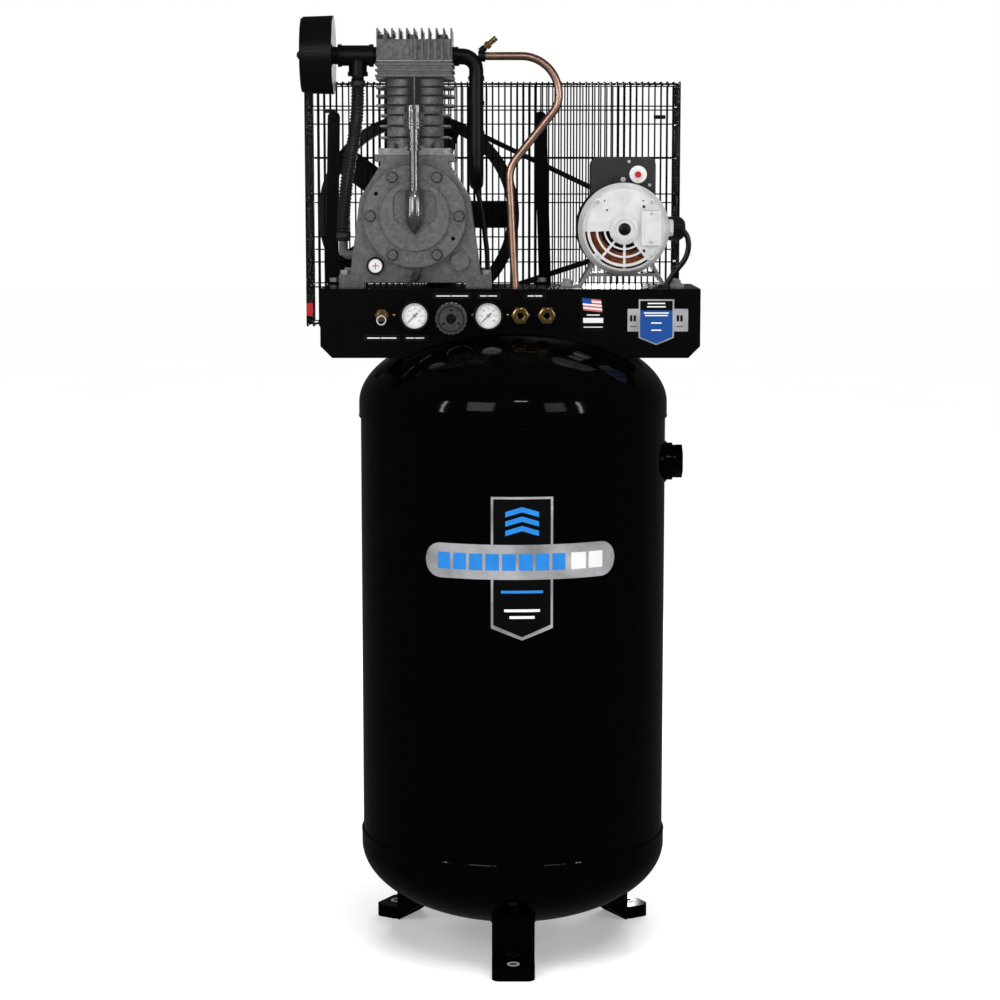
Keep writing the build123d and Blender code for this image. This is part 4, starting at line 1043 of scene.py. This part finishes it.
def build_breather():
    profile = BOSS_CURVE + [(BOSS_R, 1.5195), (0.0187, 1.5203), (0.0099, 1.5203)]
    skin = Shape().lathe(profile, (PUMP_X, BREATHER_Y, 0), "Z", 48)
    skin.made("breather_boss_skin", BREATHER_STEEL, "cast_grey")
    ribs = Shape()
    for z in (1.646, 1.652):
        ribs.lathe(washer(0.0189, 0.0196, -0.001, 0.001), (PUMP_X, BREATHER_Y, z))
    for turn in range(0, 360, 20):
        x, y = on_circle(PUMP_X, BREATHER_Y, 0.0188, turn)
        ribs.tube([(x, y, 1.657), (x, y, 1.671)], 0.0011, 6)
    ribs.made("breather_cap_ribs", CAST, "cast_grey")


def build_cylinder_details():
    low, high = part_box("cylinder_block")
    rib = Shape()
    rib.slab((PUMP_X - 0.0014, low[1] - 0.0004, 1.6840), (PUMP_X + 0.0014, low[1] + 0.006, 1.7400), 0.0005)
    rib.made("cylinder_rib", CAST, "cast_grey")

    gasket = Shape()
    gasket.slab((PUMP_X - 0.0745, -0.0605, 1.7708), (PUMP_X + 0.0745, 0.1165, 1.7722), 0.0004)
    gasket.slab((PUMP_X - 0.0708, -0.0608, 1.5905), (PUMP_X + 0.0708, 0.1148, 1.5915), 0.0003)
    gasket.made("gaskets", PRINT_GREY, "dark_steel", smooth=False)


def build_filter_ribs():
    """A raised band near each end of the filter, and a ring of lengthwise ribs between them."""
    ribs = Shape()
    for x, r in ((-0.4105, 0.0742), (-0.3565, 0.0760)):
        band = [(r - 0.002, -0.0022), (r, -0.0018), (r + 0.0004, 0.0), (r, 0.0018), (r - 0.002, 0.0022)]
        ribs.lathe(closed(band), (x, FILTER_Y, FILTER_Z), "X", 72)
    for turn in range(0, 360, 6):
        start = (-0.409, *on_circle(FILTER_Y, FILTER_Z, 0.0734, turn))
        stop = (-0.360, *on_circle(FILTER_Y, FILTER_Z, 0.0752, turn))
        ribs.tube([start, stop], 0.0011, 6)
    ribs.made("filter_ribs", FILTER, "filter_black")


# ---- motor details


WINDING_TURNS = 30
BELL_TURNS = (45, 135, 225, 315)
BELL_R = 0.0745
TERMINAL_Y = -0.098
# Each dimple in the bell, drawn as a dark disc of painted shade: its place from the shaft, and its radius.
DIMPLES = (
    (-0.0341, 0.0371, 0.0021), (0.0374, 0.0437, 0.0030), (0.0382, -0.0420, 0.0030), (-0.0390, 0.0550, 0.0016),
    (0.0360, 0.0550, 0.0016), (-0.0140, 0.0205, 0.0018), (0.0120, 0.0205, 0.0018),
)
CLIP_X0, CLIP_X1 = 0.1990, 0.2285
CLIP_LOW = 1.5335


def build_winding():
    cap = [(0.0, -0.0022), (0.0105, -0.0020), (0.0120, -0.0008), (0.0120, 0.0), (0.0, 0.0)]
    Shape().lathe(cap, (MOTOR_X, -0.095, MOTOR_Z), "Y").made("shaft_cap", SATIN_BLACK, "motor_black")
    coil = Shape()
    rng = random.Random(11)
    for i in range(WINDING_TURNS):
        radius = 0.0470 + 0.027 * ((i * 7) % WINDING_TURNS) / WINDING_TURNS
        y = -0.0640 - 0.005 * rng.random()
        points = []
        for turn in range(0, 360, 4):
            a = math.radians(turn)
            x, z = on_circle(MOTOR_X, MOTOR_Z, radius + 0.0014 * math.sin(a * 6 + i * 1.7), turn)
            points.append(Vector((x, y + 0.003 * math.sin(a * 4 + i), z)))
        coil.tube(points, 0.0011, 5, loop=True)
    coil.made("winding_turns", WINDING, "winding")


def build_bell():
    bosses = Shape()
    boss = [(0.0, -0.0892), (0.0058, -0.0892), (0.0072, -0.0885), (0.0078, -0.0850),
            (0.0082, -0.0780), (0.0, -0.0780)]
    for turn in BELL_TURNS:
        x, z = on_circle(MOTOR_X, MOTOR_Z, BELL_R, turn)
        bosses.lathe(boss, (x, 0, z), "Y", 28)
    hub = [(0.0198, -0.0972), (0.0222, -0.0972), (0.0234, -0.0962), (0.0240, -0.0950), (0.0198, -0.0950)]
    bosses.lathe(closed(hub), (MOTOR_X, 0, MOTOR_Z), "Y", 56)
    ridge = [(0.0790, -0.0832), (0.0800, -0.0845), (0.0812, -0.0836), (0.0816, -0.0818)]
    bosses.lathe(closed(ridge), (MOTOR_X, 0, MOTOR_Z), "Y", 72)
    bosses.made("bell_bosses", ALLOY, "bell_white")
    # Dark discs stand in for the bell's dimples: painted shade in hollows the mesh doesn't cut.
    dimples = Shape()
    for dx, dz, r in DIMPLES:
        dimple = [(0.0, -0.0003), (r * 0.8, -0.0003), (r, 0.0), (0.0, 0.0)]
        dimples.lathe(dimple, (MOTOR_X + dx, -0.0902, MOTOR_Z + dz), "Y", 20)
    dimples.made("bell_dimple_shades", DARK_BOLT, "dark_steel")
    clip = Shape()
    clip.slab((CLIP_X0, -0.0540, CLIP_LOW), (CLIP_X1, -0.0330, 1.5375), 0.0008)
    clip.slab((CLIP_X0, -0.0360, CLIP_LOW), (CLIP_X1, -0.0320, 1.5460), 0.0008)
    clip.made("bell_clip", DARK_BOLT, "dark_steel")


def build_motor_screws():
    Shape().hexagon((0.2160, -0.0360, 1.5420), "Y", 0.0100, -0.0070).made("clip_nut", ZINC, "zinc_steel")
    Shape().hexagon((0.3065, CABLE_Y, 1.448), "X", 0.0285, 0.0085).made("gland_nut", ALLOY, "zinc_steel")
    screws = Shape()
    for turn in BELL_TURNS:
        x, z = on_circle(MOTOR_X, MOTOR_Z, BELL_R, turn)
        screws.hexagon((x, -0.0895, z), "Y", 0.0065, -0.0035)
    head = [(0.0, -0.0022), (0.0026, -0.0018), (0.0036, 0.0), (0.0, 0.0)]
    on_terminal = ((0.269, TERMINAL_Y, 1.421), (0.269, TERMINAL_Y, 1.476))
    on_cover = ((0.228, -0.0281, 1.577), (0.269, -0.0281, 1.531))
    for at in on_terminal + on_cover:
        screws.lathe(head, at, "Y", 20)
    screws.made("motor_screws", ZINC, "zinc_steel")


def build_motor_plates():
    outline = rounded_outline(0.2560, 0.2820, 1.4230, 1.4740, 0.003)
    panel = Shape().plate(outline, TERMINAL_Y - 0.0006, TERMINAL_Y)
    panel.made("terminal_panel", ALLOY, "bell_white")
    # Grey lines along the terminal cover's top and bottom edges: painted shade where the cover meets the
    # bell.
    lines = Shape()
    for z in (1.4140, 1.4825):
        line = rectangle(0.2530, 0.2850, z - 0.0006, z + 0.0006)
        lines.plate(line, TERMINAL_Y - 0.0003, TERMINAL_Y + 0.0005)
    lines.made("terminal_shade_lines", PRINT_GREY, "dark_steel", smooth=False)

    ring = [(0.0062, -0.0006), (0.0165, -0.0008), (0.0172, 0.0), (0.0172, 0.002), (0.0062, 0.002)]
    Shape().lathe(closed(ring), (0.246, -0.0312, 1.552), "Y").made("reset_ring", WHITE, "sight_white")

    plate = Shape()
    for turn in range(-24, 25, 4):
        x, z = on_circle(MOTOR_X, MOTOR_Z, 0.0904, turn)
        plate.ring([Vector((x, y, z)) for y in (0.005, 0.065)])
    plate.faces = [(i, i + 1, i + 3, i + 2) for i in range(0, len(plate.verts) - 2, 2)]
    plate.made("motor_plate", SILVER, "zinc_steel")


# ---- tag, outlets and knob


OUTLET_FRONT = -0.148
THREADS = 6
THREAD_PITCH = 0.0026
KNOB_FRONT = (KNOB_X, -0.158, KNOB_Z)


def build_tag():
    outline = [(-0.4230, 1.2660), (-0.4110, 1.2640), (-0.4090, 1.2760), (-0.4105, 1.2920), (-0.4225, 1.2905)]
    Shape().plate(outline, 0.1322, 0.1340).made("red_tag", RED, "button_red")


def build_outlets():
    threads = Shape()
    lip = [(0.0092, -0.0006), (0.0128, -0.0010), (0.0148, -0.0004), (0.0150, 0.0012), (0.0092, 0.0)]
    thread = [(0.0062, -0.0007), (0.0072, 0.0), (0.0062, 0.0007), (0.0086, 0.0014), (0.0086, -0.0010)]
    for x in OUTLETS_X:
        threads.lathe(closed(lip), (x, OUTLET_FRONT, PANEL_Z), "Y", 48)
        for i in range(THREADS):
            threads.lathe(closed(thread), (x, OUTLET_FRONT + 0.0015 + THREAD_PITCH * i, PANEL_Z), "Y", 32)
    threads.made("outlet_threads", BRASS, "brass")
    # A black cone deep in each outlet: painted shade inside the bore.
    bore_shades = Shape()
    bore = [(0.0, -0.0015), (0.0040, -0.0018), (0.0084, 0.0), (0.0, 0.0)]
    for x in OUTLETS_X:
        bore_shades.lathe(bore, (x, -0.130, PANEL_Z), "Y", 24)
    bore_shades.made("outlet_bore_shades", PRINT_BLACK, "dark_steel")

    neck = Shape().tube([(-0.0647, -0.004, 1.7921), (-0.0555, -0.004, 1.7998)], 0.0066, 20)
    neck.made("relief_valve_neck", PIPE_BLACK, "dark_steel")


def build_knob_face():
    """A rim, a hub and three dots on the knob's front."""
    knob = Shape()
    knob.lathe(washer(0.0235, 0.0252, -0.0008, 0.0, rim=-0.001), KNOB_FRONT, "Y", 56)
    knob.lathe([(0.0, -0.0012), (0.0085, -0.0012), (0.0098, 0.0), (0.0, 0.0)], KNOB_FRONT, "Y", 40)
    dot = [(0.0, -0.0006), (0.0022, -0.0004), (0.0028, 0.0), (0.0, 0.0)]
    for turn in (90, 210, 330):
        x, z = on_circle(KNOB_X, KNOB_Z, 0.0175, turn)
        knob.lathe(dot, (x, KNOB_FRONT[1], z), "Y", 16)
    knob.made("knob_face", SATIN_BLACK, "knob_black", body="knob")


# ---- studio


WORLD_FILL = 0.12
MIRROR_SHARE = 0.4
PAPER_GLOW = 0.3


def build_floor():
    bpy.ops.mesh.primitive_plane_add(size=60, location=(0, 0, 0))
    floor = bpy.context.object
    floor.name = "studio_floor"
    paper = shade("studio_floor", (0.9, 0.9, 0.9), 0.7, grain=(0.02, 0.01), blotch=(2.0, 0.005))
    glow = {"Emission Color": (1, 1, 1, 1), "Emission Strength": PAPER_GLOW}
    set_inputs(paper.node_tree.nodes["Principled BSDF"], glow)
    floor.data.materials.append(paper)
    floor.visible_glossy = False


def build_world():
    """A white backdrop that lights the object far less than the camera sees it."""
    world = bpy.data.worlds.new("studio")
    bpy.context.scene.world = world
    world.use_nodes = True
    tree = world.node_tree
    background = tree.nodes["Background"]
    background.inputs["Color"].default_value = (1, 1, 1, 1)
    rays = tree.nodes.new("ShaderNodeLightPath").outputs
    level = map_range(tree, rays["Is Camera Ray"], {"To Min": WORLD_FILL, "To Max": 1.0})
    mirror = map_range(tree, rays["Is Glossy Ray"], {"To Min": 1.0, "To Max": MIRROR_SHARE})
    tree.links.new(combine(tree, "MULTIPLY", level, mirror), background.inputs["Strength"])


def place_light(name, data, location, target, in_mirrors=True):
    """Aims a lamp. Blender keeps every lamp out of the camera's own view."""
    light = bpy.data.objects.new(name, data)
    aim = Vector(target) - Vector(location)
    light.matrix_world = Matrix.Translation(location) @ aim.to_track_quat("-Z", "Y").to_matrix().to_4x4()
    light.visible_glossy = in_mirrors
    place(light)


def softbox(name, location, aim_z, size, power, in_mirrors=True):
    """A rectangular lamp that points at the tank's axis. size is (width, height)."""
    data = bpy.data.lights.new(name, "AREA")
    data.shape = "RECTANGLE"
    data.size, data.size_y = size
    data.energy = power
    place_light(name, data, location, (0, 0, aim_z), in_mirrors)


def build_lights():
    softbox("strip_left", (-2.5, -2.0, 1.9), 1.4, (0.10, 1.5), 9)
    softbox("strip_right", (2.5, -2.2, 1.9), 1.4, (0.10, 1.5), 9)
    softbox("bar_high", (0.35, -3.4, 3.3), 1.45, (0.5, 0.06), 6)
    softbox("metal_glow_left", (-1.6, -3.6, 2.4), 1.4, (1.3, 1.6), 20)
    softbox("metal_glow_right", (2.0, -3.4, 2.2), 1.4, (1.0, 1.6), 10)
    softbox("strip_rear", (0.35, 3.6, 1.5), 1.0, (0.22, 2.2), 14)
    softbox("fill_rear", (0.9, 3.4, 2.6), 1.3, (1.6, 1.6), 36, in_mirrors=False)
    softbox("fill_left", (-2.9, -2.6, 3.0), 1.35, (1.6, 1.6), 46, in_mirrors=False)
    softbox("fill_right", (2.4, -3.2, 2.2), 1.35, (1.6, 1.6), 20, in_mirrors=False)
    sky = bpy.data.lights.new("sky_light", "SUN")
    sky.energy = 2.4
    sky.angle = math.radians(50)
    place_light("sky_light", sky, (0.5, -1.5, 6), (0, 0, 0), in_mirrors=False)


def build_camera():
    camera = bpy.data.objects.new("camera", bpy.data.cameras.new("camera"))
    camera.data.lens = 87.05
    camera.data.sensor_width = 36
    camera.data.clip_end = 100
    camera.location = (-0.026, -4.836, 1.538)
    camera.rotation_euler = (math.radians(82.5), 0, 0)
    place(camera)
    bpy.context.scene.camera = camera
    bpy.context.scene.view_settings.view_transform = "Standard"


dress_nodes()
build_guard()
build_hose()
build_cable()
build_gauges()
build_panel()
build_sticker()
build_badge()
build_decal()
build_welds()
build_cover_details()
build_sight_glass()
build_breather()
build_cylinder_details()
build_filter_ribs()
build_winding()
build_bell()
build_motor_screws()
build_motor_plates()
build_tag()
build_outlets()
build_knob_face()
build_floor()
build_world()
build_lights()
build_camera()
